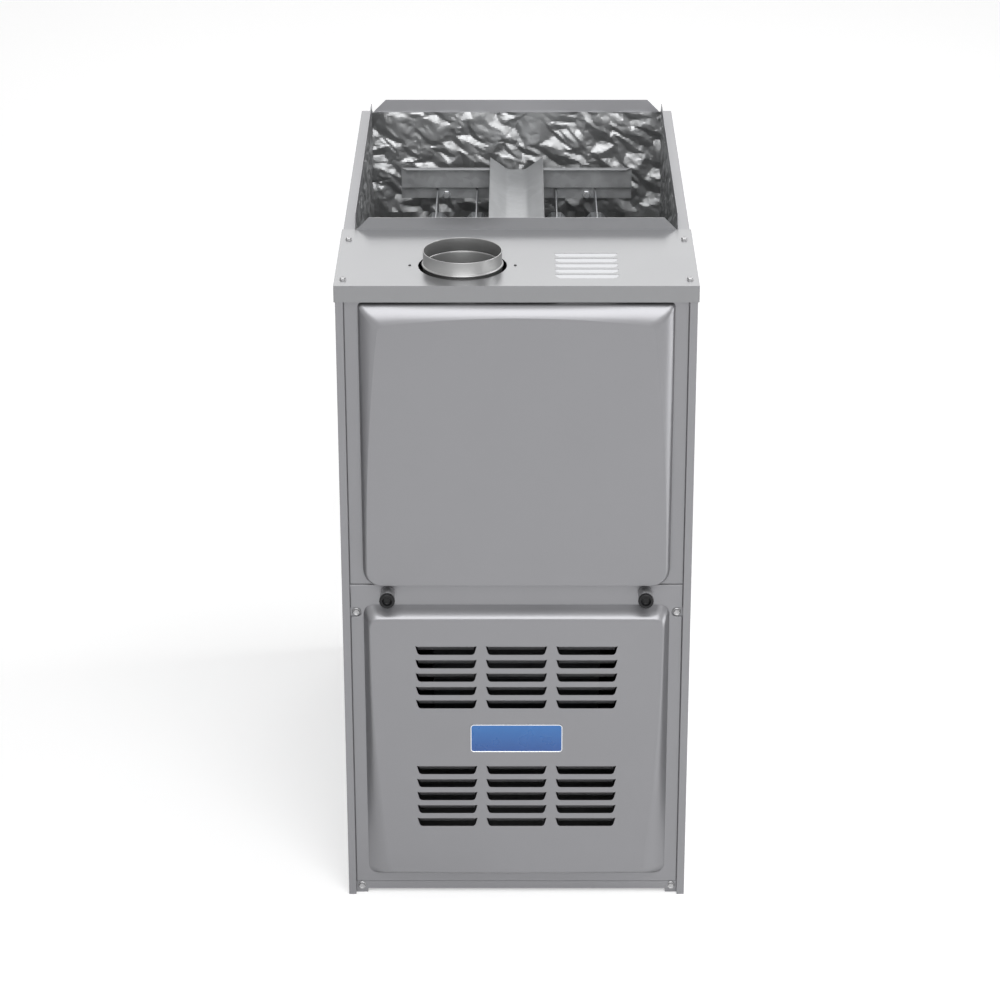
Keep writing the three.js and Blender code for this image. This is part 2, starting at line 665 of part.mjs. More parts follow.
function inducerMotor() {
  const { x, z, front, shaft, motor, motorFront } = INDUCER;
  const [bore, neck, back] = [shaft + 0.5, motor - 6, front - GAP];
  const can = turned('y', x, z, [
    [bore, motorFront], [neck, motorFront], [motor, motorFront + 4], [motor, motorFront + 28],
    [neck, motorFront + 32], [neck, back], [bore, back],
  ], 24);
  const arms = range(3).map((i) => {
    const arm = new THREE.BoxGeometry(30, 3, 9).translate(motor + 7, back - 1.5, 0);
    return toSolid(arm.rotateY(i / 3 * 2 * Math.PI + 0.5).translate(x, 0, z));
  });
  return join(can, ...arms);
}

function flueCollar() {
  const { x, y, outer, wall, rise, low, bead } = FLUE;
  const top = HEIGHT + rise;
  return turned('z', x, y, [
    [outer - wall, low], [outer, low], [outer, HEIGHT + 1], [outer + bead, HEIGHT + 1.6],
    [outer + bead, HEIGHT + 3.2], [outer, HEIGHT + 3.8], [outer, top], [outer - wall, top],
  ], 32);
}

// ---- burners and gas train ------------------------------------------------------------

function burner(x) {
  const wall = 1.2;
  const outer = [[15, 94], [11, 118], [12, 134], [18, 158], [18, 197]];
  const inner = outer.map(([radius, y]) => [radius - wall, y]).reverse();
  return turned('y', x, PORT_Z, [...outer, ...inner], 12);
}

function burnerShelf() {
  const { half, front, saddle } = SHELF;
  const top = PORT_Z - 18 - GAP;
  const back = VEST_Y - GAP;
  const upstand = cut(
    slab([5 - half, half - 5], [saddle, saddle + 1.2], [top - SHEET / 2, PORT_Z + 22]),
    ...cellPlaces().map((x) => drill('y', x, PORT_Z, 12.4, saddle, 14)),
  );
  return join(
    slab([-half, half], [front, back], [top - SHEET, top]),
    slab([2 - half, half - 2], [back - SHEET, back], [top - 16, top - SHEET / 2]),
    upstand,
  );
}

function gasManifold() {
  const { y, radius, left, right } = MANIFOLD;
  const spuds = cellPlaces().flatMap((x) => [
    bar('y', x, PORT_Z, 7, y + radius - 3, y + radius + 10, 6),
    bar('y', x, PORT_Z, 4, y + radius, y + radius + 24, 10),
  ]);
  return join(
    bar('x', y, PORT_Z, radius, left, right, 16),
    bar('x', y, PORT_Z, radius + 3, left - 6, left + 12, 16),
    ...spuds,
  );
}

function gasValve() {
  const { x, y, z, knobX, knobZ } = VALVE;
  const body = join(
    slab(x, y, z),
    bar('x', MANIFOLD.y, PORT_Z, 15, MANIFOLD.right + GAP, x[0] + 2, 16),
    bar('x', MANIFOLD.y, PORT_Z, 14, x[1] - 2, x[1] + 13, 16),
    bar('z', x[0] + 16, 54, 13, z[1] - 2, z[1] + 24, 16),
    slab([x[0] + 32, x[1] - 4], [34, 74], [z[1] - 2, z[1] + 16]),
  );
  const inlet = bar('x', MANIFOLD.y, PORT_Z, 9, x[1] - 8, x[1] + 20, 14);
  return cut(body, inlet, bar('y', knobX, knobZ, 4.4, y[0] - 1, y[0] + 9, 12));
}

function gasValveKnob() {
  const { y, knobX, knobZ } = VALVE;
  const front = 11.5;
  return join(
    bar('y', knobX, knobZ, 14, front + 3, y[0] - GAP, 20),
    slab([knobX - 2.6, knobX + 2.6], [front, y[0] - 3], [knobZ - 13, knobZ + 13]),
    bar('y', knobX, knobZ, 4, y[0] - 2, y[0] + 7, 12),
  );
}

// ---- sensing and safety ---------------------------------------------------------------

function igniter() {
  const x = -CELL.pitch * 1.5;
  return join(
    slab([x - 5, x + 5], [PROBE_Y - 5, VEST_Y - GAP], [PORT_Z + 10, PORT_Z + 42]),
    slab([x - 2, x + 2], [PROBE_Y - 2, PROBE_Y + 2], [PORT_Z - 14, PORT_Z + 12]),
  );
}

function flameSensor() {
  const x = CELL.pitch * 1.5;
  return join(
    slab([x - 5, x + 5], [PROBE_Y - 5, VEST_Y - GAP], [PORT_Z + 10, PORT_Z + 26]),
    bar('z', x, PROBE_Y, 3.4, PORT_Z + 6, PORT_Z + 38, 12),
    bar('z', x, PROBE_Y, 1.3, PORT_Z - 16, PORT_Z + 8, 8),
  );
}

function rolloutSwitch(side) {
  const x = side * ROLLOUT.x;
  const { z, front, button } = ROLLOUT;
  const back = VEST_Y - GAP;
  const terminal = [front - 8, front + 1];
  const body = join(
    bar('y', x, z, 9.5, front, back - 1, 18),
    slab([x - 17, x + 17], [back - 1.2, back], [z - 8, z + 8]),
    slab([x - 1.6, x + 1.6], terminal, [z + 4.6, z + 8]),
    slab([x - 1.6, x + 1.6], terminal, [z - 8, z - 4.6]),
  );
  return cut(body, bar('y', x, z, button + 0.4, front - 2, front + 8, 12));
}

function rolloutButton(side) {
  const { x, z, front, button } = ROLLOUT;
  return bar('y', side * x, z, button, front - 3.5, front + 5, 12);
}

function limitSwitch() {
  const { x, z, probe, tip } = LIMIT;
  const back = VEST_Y - GAP;
  return join(
    slab([x - 18, x + 18], [back - 1.2, back], [z - 14, z + 14]),
    bar('y', x, z, 10, back - 17, back - 1, 18),
    bar('y', x, z, probe, back - 2, tip, 12),
    bar('y', x, z, probe + 3, tip - 7, tip, 12),
  );
}

function pressureSwitch() {
  const { x, y, z, tapX, tapZ } = PRESSURE;
  const back = VEST_Y - GAP;
  return join(
    turned('y', x, z, [
      [0, y], [26, y], [28, y + 3], [33, y + 8], [33, y + 13], [28, y + 18], [10, y + 22], [0, y + 22],
    ], 24),
    bar('y', x, z, 9, y + 20, back - 1, 12),
    slab([x - 20, x + 20], [back - 1.2, back], [z - 26, z + 26]),
    bar('y', x - tapX, z - tapZ, 3, y - TAP_LENGTH, y + 2, 10),
  );
}

// Rubber hose from the inducer's tap to the pressure switch, clipped on at both ends.
function pressureHose() {
  const { x, y, z, tapX, tapZ } = PRESSURE;
  const start = new THREE.Vector3(INDUCER.x + TAP + GAP, FLUE.y, INDUCER.z);
  const end = new THREE.Vector3(x - tapX, y - TAP_LENGTH - GAP, z - tapZ);
  const route = new THREE.CatmullRomCurve3([
    start,
    start.clone().add(new THREE.Vector3(8, 0, 0)),
    new THREE.Vector3(104, 78, 692),
    new THREE.Vector3(134, 104, 664),
    end.clone().add(new THREE.Vector3(0, -30, 0)),
    end.clone().add(new THREE.Vector3(0, -8, 0)),
    end,
  ], false, 'centripetal');
  const section = new THREE.Shape().absarc(0, 0, 3.6, 0, 2 * Math.PI);
  return toSolid(new THREE.ExtrudeGeometry(section, {
    steps: 22, curveSegments: 4, extrudePath: route,
  }));
}

// ---- blower ---------------------------------------------------------------------------

// Depth at which the scroll's wall ends behind its outlet.
function scrollMouth() {
  const end = THREE.MathUtils.degToRad(180 + SCROLL.sweep);
  return WHEEL.y + SCROLL.near * Math.cos(end);
}

function blowerHousing() {
  const { y, z } = WHEEL;
  const { half, inlet, wall } = SCROLL;
  const top = DECK_Z - GAP;
  const rim = 9;
  const shell = join(
    prism('x', scrollOutline(y, z, SCROLL, top), -half, half),
    slab([-half - rim, half + rim], [y - SCROLL.far - rim, scrollMouth() + rim], [top - wall, top]),
  );
  const lips = [-1, 1].map((side) => turned('x', y, z, [
    [inlet - 8, side * (half - 6)], [inlet, side * (half + 1.5)],
    [inlet + 3, side * (half + 1.5)], [inlet + 3, side * (half - 0.5)],
    [inlet, side * (half - 1)], [inlet - 6.5, side * (half - 6)],
  ], 24));
  const inside = [
    prism('x', scrollOutline(y, z, SCROLL, top + 1, wall), wall - half, half - wall),
    bar('x', y, z, inlet - 1, -half - 5, half + 5, 24),
  ];
  return join(cut(shell, ...inside), ...lips);
}

// Forward-curved wheel: a middle disc and hub, two end rings, and blades that join them.
function blowerWheel() {
  const { y, z, radius, depth, half, blades, rim } = WHEEL;
  const ring = (from, to) => turned('x', y, z, [
    [radius - depth, from], [radius, from], [radius, to], [radius - depth, to],
  ], 24);
  const vanes = range(blades).map((i) => {
    const vane = new THREE.BoxGeometry(2 * half - 4, depth - 3, 1.6);
    vane.rotateX(0.45).translate(0, radius - depth / 2, 0);
    return toSolid(vane.rotateX(i / blades * 2 * Math.PI).translate(0, y, z));
  });
  const disc = join(bar('x', y, z, radius - 2, -10, -8, 24), bar('x', y, z, 20, -24, -4, 16));
  const wheel = join(disc, ring(-half, rim - half), ring(half - rim, half), ...vanes);
  return cut(wheel, bar('x', y, z, SHAFT + GAP, -30, 0, 12));
}

function blowerShaft() {
  return bar('x', WHEEL.y, WHEEL.z, SHAFT, -36, MOTOR.from + MOTOR.bore - 6, 12);
}

function blowerMotor() {
  const { radius, from, to, bore } = MOTOR;
  return turned('x', WHEEL.y, WHEEL.z, [
    [SHAFT + 0.5, from], [26, from], [32, from + 8], [radius, from + 12], [radius, to - 12],
    [radius - 6, to - 4], [20, to], [0, to], [0, from + bore], [SHAFT + 0.5, from + bore],
  ], 28);
}

// Band round the motor and three arms to the housing's side.
function motorMount() {
  const { y, z } = WHEEL;
  const from = SCROLL.half + 1.5 + GAP;
  const band = turned('x', y, z, [
    [MOTOR.radius + GAP, from], [MOTOR.radius + 2.3, from],
    [MOTOR.radius + 2.3, from + 16], [MOTOR.radius + GAP, from + 16],
  ], 28);
  const arms = range(3).map((i) => {
    const arm = new THREE.BoxGeometry(3, 54, 14).translate(from + 1.5, MOTOR.radius + 28, 0);
    return toSolid(arm.rotateX(i / 3 * 2 * Math.PI + 0.5).translate(0, y, z));
  });
  return join(band, ...arms);
}

// ---- controls -------------------------------------------------------------------------

function controlTray() {
  const { y, right, low, high } = TRAY;
  return join(
    slab([-INNER, right], [y, y + 1.2], [low, high]),
    slab([-INNER, 1.2 - INNER], [y, y + 34], [low, high]),
  );
}

function circuitBoard() {
  const { left, low, width, height, standoff } = BOARD;
  const back = TRAY.y - GAP;
  const face = back - standoff;
  const lump = (x, z, wide, high, deep) =>
    slab([left + x, left + x + wide], [face - deep, face + 0.5], [low + z, low + z + high]);
  const inset = 8;
  const posts = [inset, width - inset].flatMap((x) => [inset, height - inset].map((z) =>
    bar('y', left + x, low + z, 3, face + 1, back, 8)));
  const relays = [14, 42, 70].map((x) => lump(x, 58, 20, 28, 16));
  const plugs = [14, 70].map((x) => lump(x, 12, 44, 10, 9));
  const chip = lump(50, 33, 26, 18, 4);
  return join(
    slab([left, left + width], [face, face + 1.6], [low, low + height]),
    ...relays, ...plugs, chip, ...posts,
  );
}

function transformer() {
  const { x, low, height } = TRANSFORMER;
  const back = TRAY.y - GAP;
  const block = (half, from, to, inset) =>
    slab([x - half, x + half], [back - from, back - to], [low + inset, low + height - inset]);
  const plate = block(28, 1.5, 0, 0);
  const core = block(24, 36, 1, 6);
  const windings = block(15, 44, 1, 15);
  return join(plate, core, windings);
}

function doorSwitch() {
  const { x, z, plunger, half, deep } = SWITCH;
  const front = RAIL.y + SHEET + GAP;
  const body = slab([x - half, x + half], [front, front + deep], [z - half - 2, z + half]);
  return cut(body, bar('y', x, z, plunger + 0.5, front - 1, front + deep - 4, 12));
}

function switchPlunger() {
  return bar('y', SWITCH.x, SWITCH.z, SWITCH.plunger, DOOR_Y + SHEET + GAP, SWITCH.deep - 2, 12);
}

// ---- doors ----------------------------------------------------------------------------

// Outline of a pressed bulge. Both sides bow, and every side and corner has as many points
// whatever the sizes, so that two outlines can be lofted.
function pressedOutline(o, y, grow = 0) {
  const bottomZ = o.bottom - grow;
  const topZ = o.top + grow;
  const low = o.halfLow + grow;
  const high = o.halfHigh + grow;
  const lowZ = bottomZ + o.cornerLow;
  const highZ = topZ - o.cornerHigh - o.crown;
  const middle = (lowZ + highZ) / 2;
  const bow = o.bow + grow;
  const shape = new THREE.Shape();
  shape.moveTo(low - o.cornerLow, bottomZ);
  shape.quadraticCurveTo(low, bottomZ, low, lowZ);
  shape.quadraticCurveTo(bow, middle, high, highZ);
  shape.quadraticCurveTo(high - o.lean, topZ - o.crown, high - o.lean - o.cornerHigh, topZ - o.crown);
  shape.quadraticCurveTo(0, topZ + o.crown, -high + o.lean + o.cornerHigh, topZ - o.crown);
  shape.quadraticCurveTo(-high + o.lean, topZ - o.crown, -high, highZ);
  shape.quadraticCurveTo(-bow, middle, -low, lowZ);
  shape.quadraticCurveTo(-low, bottomZ, -low + o.cornerLow, bottomZ);
  shape.quadraticCurveTo(0, bottomZ - o.sag, low - o.cornerLow, bottomZ);
  return shape.getPoints(3).slice(0, -1).map((p) => new THREE.Vector3(p.x, y, p.y));
}

// The bulge between its foot on the flat door and the crease round its face. Each step says
// how far it is across to the crease and how far out to the face.
const BULGE_STEPS = [[0, 0], [0.1, 0.42], [0.62, 0.86], [1, 1]];

function bulge(foot, crease, grow, back, front) {
  const low = pressedOutline(foot, 0, grow);
  const high = pressedOutline(crease, 0, grow);
  const rings = BULGE_STEPS.map(([across, out]) => low.map((point, i) => {
    const mixed = point.clone().lerp(high[i], across);
    mixed.y = back + (front - back) * out;
    return mixed;
  }));
  return loft(rings);
}

// A door: flat sheet with a folded edge, and a hollow pressed bulge.
function pressedDoor({ low, high }, foot, crease) {
  const back = DOOR_Y + HEM;
  const outer = join(
    slab([-DOOR_HALF, DOOR_HALF], [DOOR_Y, back], [low, high]),
    bulge(foot, crease, 0, DOOR_Y + 0.5, FACE_Y),
  );
  const rim = HEM + SHEET;
  const pocket = slab(
    [rim - DOOR_HALF, DOOR_HALF - rim],
    [DOOR_Y + SHEET, back + 1],
    [low + rim, high - rim],
  );
  return cut(outer, pocket, bulge(foot, crease, -SHEET, DOOR_Y + SHEET + 0.5, FACE_Y + SHEET));
}

function burnerDoor() {
  const { low, high } = UPPER_DOOR;
  const foot = {
    bottom: low + 1.5, top: high - 1.5, halfLow: 195, halfHigh: 195, bow: 195,
    cornerLow: 25, cornerHigh: 6, crown: 0, lean: 0, sag: 0,
  };
  const crease = {
    bottom: low + 5, top: 818.5, halfLow: 189, halfHigh: 166, bow: 189,
    cornerLow: 22, cornerHigh: 7, crown: 2.2, lean: 1, sag: 0,
  };
  return pressedDoor(UPPER_DOOR, foot, crease);
}

function blowerDoor() {
  const foot = {
    bottom: 30.5, top: 424, halfLow: 195.5, halfHigh: 195.5, bow: 195.5,
    cornerLow: 16, cornerHigh: 15, crown: 0, lean: 0, sag: 0,
  };
  const crease = {
    bottom: 43, top: 409.5, halfLow: 165, halfHigh: 184.5, bow: 186,
    cornerLow: 8, cornerHigh: 8, crown: 0.6, lean: 0, sag: 4,
  };
  const { pitchX, pitchZ, rows, columns, tops } = DOOR_SLOTS;
  const places = tops.flatMap((top) => range(rows).flatMap((row) =>
    range(columns).map((column) => new THREE.Matrix4().set(
      1, 0, 0, (column - (columns - 1) / 2) * pitchX,
      0, 0, 1, FACE_Y,
      0, -1, 0, top - row * pitchZ,
      0, 0, 0, 1,
    ))));
  const door = withLouvres(pressedDoor(LOWER_DOOR, foot, crease), DOOR_SLOTS, places);
  const openings = [-1, 1].flatMap((side) => [
    drill('y', side * KNOB.x, KNOB.z, KNOB.shank + 0.5, BEHIND_DOOR, 16),
    drill('y', side * NOTCH.x, NOTCH.upperZ, NOTCH.radius, BEHIND_DOOR, 14),
    slab(
      [side * NOTCH.x, side * (DOOR_HALF + 1)],
      [DOOR_Y - 1, SEAT_Y],
      [NOTCH.upperZ - NOTCH.radius, NOTCH.upperZ + NOTCH.radius],
    ),
  ]);
  return cut(door, ...openings);
}

function badgePlate() {
  const { halfX, z, halfZ, thick, corner } = BADGE;
  const shape = new THREE.Shape();
  shape.absarc(halfX - corner, z + halfZ - corner, corner, 0, Math.PI / 2);
  shape.absarc(corner - halfX, z + halfZ - corner, corner, Math.PI / 2, Math.PI);
  shape.absarc(corner - halfX, z - halfZ + corner, corner, Math.PI, 1.5 * Math.PI);
  shape.absarc(halfX - corner, z - halfZ + corner, corner, 1.5 * Math.PI, 2 * Math.PI);
  return prism('y', shape, FACE_Y - GAP - thick, FACE_Y - GAP, 3);
}

// Thumb knob: ribbed black head with a dished face, and a shank that enters the cross rail.
function doorKnob(side) {
  const x = side * KNOB.x;
  const { z, radius, front, shank } = KNOB;
  const back = DOOR_Y - GAP;
  const head = turned('y', x, z, [
    [0, front + 3], [5.4, front + 3], [6, front], [radius - 0.6, front], [radius, front + 1],
    [radius, front + 6], [radius - 0.6, front + 7], [radius - 0.6, back - 1], [radius - 2, back],
    [0, back],
  ], 16);
  return join(head, bar('y', x, z, shank, back - 1, 16, 12));
}

// Hex-head sheet-metal screw through the casing's flange.
function casingScrew(side, z) {
  const x = side * NOTCH.x;
  const seat = (z === NOTCH.upperZ ? SEAT_Y : BEHIND_DOOR) - GAP;
  return join(
    bar('y', x, z, 5.2, seat - 0.8, seat, 16),
    bar('y', x, z, 4.4, seat - 3.7, seat - 0.5, 6),
    bar('y', x, z, NOTCH.screw, seat - 0.7, SEAT_Y + 8, 10),
  );
}

// ---- the assembly ---------------------------------------------------------------------

const cabinet = new THREE.Group();
cabinet.position.y = -FRONT_TO_MIDDLE;

function add(name, solid, material) {
  const mesh = new THREE.Mesh(toGeometry(solid), material);
  mesh.name = name;
  cabinet.add(mesh);
}

add('side_panel_left', sidePanel(-1), PAINT);
add('side_panel_right', sidePanel(1), PAINT);
add('back_panel', backPanel(), PAINT);
add('top_panel', topPanel(), TOP_PAINT);
add('base_pan', basePan(), PAINT);
add('cross_rail', crossRail(), GALVANISED);
add('blower_deck', blowerDeck(), GALVANISED);
add('vestibule_panel', vestibulePanel(), GALVANISED);
add('insulation_left', sideLiner(-1), FOIL);
add('insulation_right', sideLiner(1), FOIL);
add('insulation_back', backLiner(), FOIL);

cellPlaces().forEach((x, i) => add(`heat_exchanger_cell_${i + 1}`, exchangerCell(x), ALUMINISED));
add('air_trough', airTrough(), GALVANISED);
add('cell_support', cellSupport(), GALVANISED);

add('collector_box', collectorBox(), ALUMINISED);
add('inducer_housing', inducerHousing(), ALUMINISED);
add('inducer_wheel', inducerWheel(), GALVANISED);
add('inducer_motor', inducerMotor(), DARK);
add('flue_collar', flueCollar(), STEEL);

cellPlaces().forEach((x, i) => add(`burner_${i + 1}`, burner(x), ALUMINISED));
add('burner_shelf', burnerShelf(), GALVANISED);
add('gas_manifold', gasManifold(), DARK);
add('gas_valve', gasValve(), STEEL);
add('gas_valve_knob', gasValveKnob(), BLACK);
add('igniter', igniter(), CERAMIC);
add('flame_sensor', flameSensor(), CERAMIC);
add('limit_switch', limitSwitch(), DARK);
add('pressure_switch', pressureSwitch(), DARK);
add('pressure_hose', pressureHose(), RUBBER);

add('blower_housing', blowerHousing(), GALVANISED);
add('blower_wheel', blowerWheel(), GALVANISED);
add('blower_shaft', blowerShaft(), STEEL);
add('blower_motor', blowerMotor(), DARK);
add('motor_mount', motorMount(), GALVANISED);

add('control_tray', controlTray(), GALVANISED);
add('circuit_board', circuitBoard(), GREEN);
add('transformer', transformer(), DARK);
add('door_switch', doorSwitch(), DARK);
add('door_switch_plunger', switchPlunger(), CERAMIC);

add('burner_door', burnerDoor(), PAINT);
add('blower_door', blowerDoor(), PAINT);
add('badge_plate', badgePlate(), BLUE);

for (const [name, side] of [['left', -1], ['right', 1]]) {
  add(`rollout_switch_${name}`, rolloutSwitch(side), DARK);
  add(`rollout_button_${name}`, rolloutButton(side), RED);
  add(`door_knob_${name}`, doorKnob(side), BLACK);
  add(`casing_screw_upper_${name}`, casingScrew(side, NOTCH.upperZ), STEEL);
  add(`casing_screw_lower_${name}`, casingScrew(side, NOTCH.lowerZ), STEEL);
}

const furnace = new THREE.Group();
furnace.name = 'forced_air_gas_furnace';
furnace.add(cabinet);

export default furnace;
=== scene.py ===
# %% [markdown]
# # A forced-air gas furnace
#
# The object is a tall cabinet of folded and painted sheet steel. Two pressed doors close its
# front, a flue collar stands on its top panel, and behind that panel the cabinet is open, so
# that the warm air can leave. The opening shows crinkled foil, a trough and a support.
#
# The imported model gives every part its place and size. This script dresses it: it makes the
# doors, the foil, the collar, the knobs and the small fasteners again with their fine shape,
# gives every other part a finish, and rounds the edges of the folded sheets. Lengths are in
# metres, +Z is up and the doors face -Y.

# %% The frame
import json
import math
import random

import bpy
import bmesh
import numpy as np
from mathutils import Matrix, Vector, geometry, noise


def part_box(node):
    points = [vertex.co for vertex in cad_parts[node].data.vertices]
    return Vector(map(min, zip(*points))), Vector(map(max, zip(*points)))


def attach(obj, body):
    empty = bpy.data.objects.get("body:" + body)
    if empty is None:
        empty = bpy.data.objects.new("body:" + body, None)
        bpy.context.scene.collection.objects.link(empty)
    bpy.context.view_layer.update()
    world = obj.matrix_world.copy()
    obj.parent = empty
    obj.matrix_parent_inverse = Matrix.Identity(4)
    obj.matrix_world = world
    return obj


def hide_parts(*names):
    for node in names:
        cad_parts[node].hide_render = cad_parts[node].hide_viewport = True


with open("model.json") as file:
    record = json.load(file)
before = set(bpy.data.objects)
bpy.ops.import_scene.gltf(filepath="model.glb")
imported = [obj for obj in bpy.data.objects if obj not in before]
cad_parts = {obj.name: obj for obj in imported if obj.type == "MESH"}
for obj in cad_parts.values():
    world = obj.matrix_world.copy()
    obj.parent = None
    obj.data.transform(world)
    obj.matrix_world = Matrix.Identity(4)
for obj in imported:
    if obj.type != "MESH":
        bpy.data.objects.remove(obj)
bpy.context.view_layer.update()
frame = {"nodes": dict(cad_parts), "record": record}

MM = 0.001
CASING_LOW, CASING_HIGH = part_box("side_panel_right")
FRONT = CASING_LOW.y              # front plane of the casing
HALF_WIDTH = CASING_HIGH.x
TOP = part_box("flue_collar")[1].z - 20 * MM
print("casing", round(2 * HALF_WIDTH, 4), "wide,", round(TOP, 4), "to the top panel")

# %% [markdown]
# ## The camera
#
# The photograph was taken from in front of the object and above it. A camera that stands
# 3.6 m from the doors, looks 23.6 degrees down and has a long lens gives the same edges in
# the same places. Its small shift moves the object sideways in the frame without turning it.

# %% The camera
CAMERA_AWAY, CAMERA_HIGH = 3.643, 2.163
CAMERA_TILT = math.radians(90 - 23.6)
PHOTO_PIXELS = 1000
FOCAL_PIXELS = 3164
CENTRE_PIXEL = 516.5

camera_data = bpy.data.cameras.new("camera")
camera_data.sensor_width = 36
camera_data.lens = camera_data.sensor_width * FOCAL_PIXELS / PHOTO_PIXELS
camera_data.shift_x = (PHOTO_PIXELS / 2 - CENTRE_PIXEL) / PHOTO_PIXELS
camera_data.clip_end = 100
camera = bpy.data.objects.new("camera", camera_data)
camera.location = (0, FRONT - CAMERA_AWAY, CAMERA_HIGH)
camera.rotation_euler = (CAMERA_TILT, 0, 0)
bpy.context.scene.collection.objects.link(camera)
bpy.context.scene.camera = camera
bpy.context.scene.view_settings.view_transform = "Standard"
print("lens", round(camera_data.lens, 1), "mm")

# %% [markdown]
# ## Shader maths as plain expressions
#
# A finish is a small graph of nodes. Written node by node it is hard to read, so one class
# wraps a socket and turns `noise * 0.2 + 0.4` into Math nodes, and one method adds every
# other node from its type, its settings and the values or links of its sockets.

# %% Sockets as numbers
class Number:
    """A socket that takes part in arithmetic."""

    def __init__(self, finish, socket):
        self.finish = finish
        self.socket = socket

    def math(self, operation, *others):
        return self.finish.number("ShaderNodeMath", {"operation": operation}, self, *others)

    def __add__(self, other):
        return self.math("ADD", other)

    def __sub__(self, other):
        return self.math("SUBTRACT", other)

    def __rsub__(self, other):
        return self.finish.number("ShaderNodeMath", {"operation": "SUBTRACT"}, other, self)

    def __mul__(self, other):
        return self.math("MULTIPLY", other)

    __radd__ = __add__
    __rmul__ = __mul__

    def above(self, edge, blur):
        """0 below the edge and 1 above it, with a soft step of the blur's width."""
        return self.finish.number(
            "ShaderNodeMapRange", {"interpolation_type": "SMOOTHSTEP"},
            self, edge - blur / 2, edge + blur / 2, 0.0, 1.0)


def feed(tree, socket, value):
    """Links a socket of the tree to an output, or sets it to a constant."""
    if isinstance(value, Number):
        value = value.socket
    if isinstance(value, bpy.types.NodeSocket):
        tree.links.new(value, socket)
    else:
        socket.default_value = value


class Finish:
    """A material made of a Principled shader and the nodes that feed it."""

    def __init__(self, name, colour, roughness, metallic=0.0, **constants):
        self.material = bpy.data.materials.new(name)
        self.material.use_nodes = True
        self.tree = self.material.node_tree
        self.shader = self.tree.nodes["Principled BSDF"]
        self.set("Base Color", (*colour, 1))
        self.set("Roughness", roughness)
        self.set("Metallic", metallic)
        for socket, value in constants.items():
            self.set(socket.replace("_", " "), value)
        coordinates = self.tree.nodes.new("ShaderNodeTexCoord")
        self.place = coordinates.outputs["Object"]

    def set(self, socket, value):
        feed(self.tree, self.shader.inputs[socket], value)

    def node(self, kind, settings, *values, **sockets):
        """A node with its settings, its sockets in order, and more sockets by name."""
        made = self.tree.nodes.new(kind)
        for key, value in settings.items():
            setattr(made, key, value)
        for socket, value in zip(made.inputs, values):
            feed(self.tree, socket, value)
        for name, value in sockets.items():
            feed(self.tree, made.inputs[name.replace("_", " ")], value)
        return made

    def number(self, kind, settings, *values, output=0, **sockets):
        return Number(self, self.node(kind, settings, *values, **sockets).outputs[output])

    def stretched(self, x, y, z):
        """Object coordinates with each axis scaled, for grain that runs one way."""
        return self.node("ShaderNodeMapping", {}, Vector=self.place, Scale=(x, y, z)).outputs[0]

    def noise(self, scale, detail=2.0, place=None):
        return self.number("ShaderNodeTexNoise", {}, Vector=place or self.place,
                           Scale=scale, Detail=detail)

    def mix(self, share, low, high):
        """A colour between two colours."""
        made = self.node("ShaderNodeMix", {"data_type": "RGBA"})
        feed(self.tree, made.inputs[0], share)
        made.inputs[6].default_value = (*low, 1)
        made.inputs[7].default_value = (*high, 1)
        return made.outputs[2]

    def bump(self, height, depth, strength=1.0):
        """Height from 0 to 1 becomes relief of that depth in metres."""
        made = self.node("ShaderNodeBump", {}, Height=height, Distance=depth, Strength=strength)
        self.set("Normal", made.outputs[0])


def shade(colour, factor):
    return tuple(channel * factor for channel in colour)


# %% [markdown]
# ## Painted and bare metal
#
# The casing wears a satin powder coat. It isn't a flat grey: it has a fine orange-peel
# relief, and its gloss and tone drift a little over a hand's width. The inner sheets are
# galvanised, whose zinc freezes in flat crystals of a few millimetres, each with its own
# tone and gloss. Voronoi cells make those crystals.

# %% Powder coat
def powder_coat(name, colour, roughness, flakes=0.75):
    coat = Finish(name, colour, roughness, flakes)
    drift = coat.noise(9, 3)
    peel = coat.noise(1100, 1)
    coat.set("Base Color", coat.mix(drift, shade(colour, 0.97), shade(colour, 1.03)))
    coat.set("Roughness", drift * 0.08 + (roughness - 0.04))
    coat.bump(peel, 0.02 * MM, 0.5)
    return coat.material


# %% Galvanised, aluminised and brushed steel
def galvanised(name, colour, spangle=8 * MM):
    zinc = Finish(name, colour, 0.4, 0.6)
    crystals = zinc.node("ShaderNodeTexVoronoi", {}, Vector=zinc.place, Scale=1 / spangle)
    tone = zinc.number("ShaderNodeSeparateColor", {}, crystals.outputs["Color"])
    streaks = zinc.noise(30, 4, zinc.stretched(1, 1, 3))
    mixed = tone * 0.6 + streaks * 0.4
    zinc.set("Base Color", zinc.mix(mixed, shade(colour, 0.86), shade(colour, 1.1)))
    zinc.set("Roughness", mixed * 0.16 + 0.38)
    zinc.bump(streaks, 0.03 * MM, 0.4)
    return zinc.material


def aluminised(name, colour):
    steel = Finish(name, colour, 0.5, 1.0)
    clouds = steel.noise(45, 5)
    grain = steel.noise(900, 2)
    steel.set("Base Color", steel.mix(clouds, shade(colour, 0.85), shade(colour, 1.1)))
    steel.set("Roughness", clouds * 0.2 + 0.36)
    steel.bump(grain, 0.03 * MM, 0.5)
    return steel.material


def rolled_pipe(name, colour):
    """Sheet steel whose brushing runs round the pipe."""
    steel = Finish(name, colour, 0.3, 0.8)
    brushing = steel.noise(18, 4, steel.stretched(1, 1, 90))
    stains = steel.noise(40, 3)
    steel.set("Base Color", steel.mix(brushing, shade(colour, 0.94), shade(colour, 1.04)))
    steel.set("Roughness", brushing * 0.05 + stains * 0.06 + 0.3)
    steel.bump(brushing, 0.02 * MM, 0.03)
    return steel.material


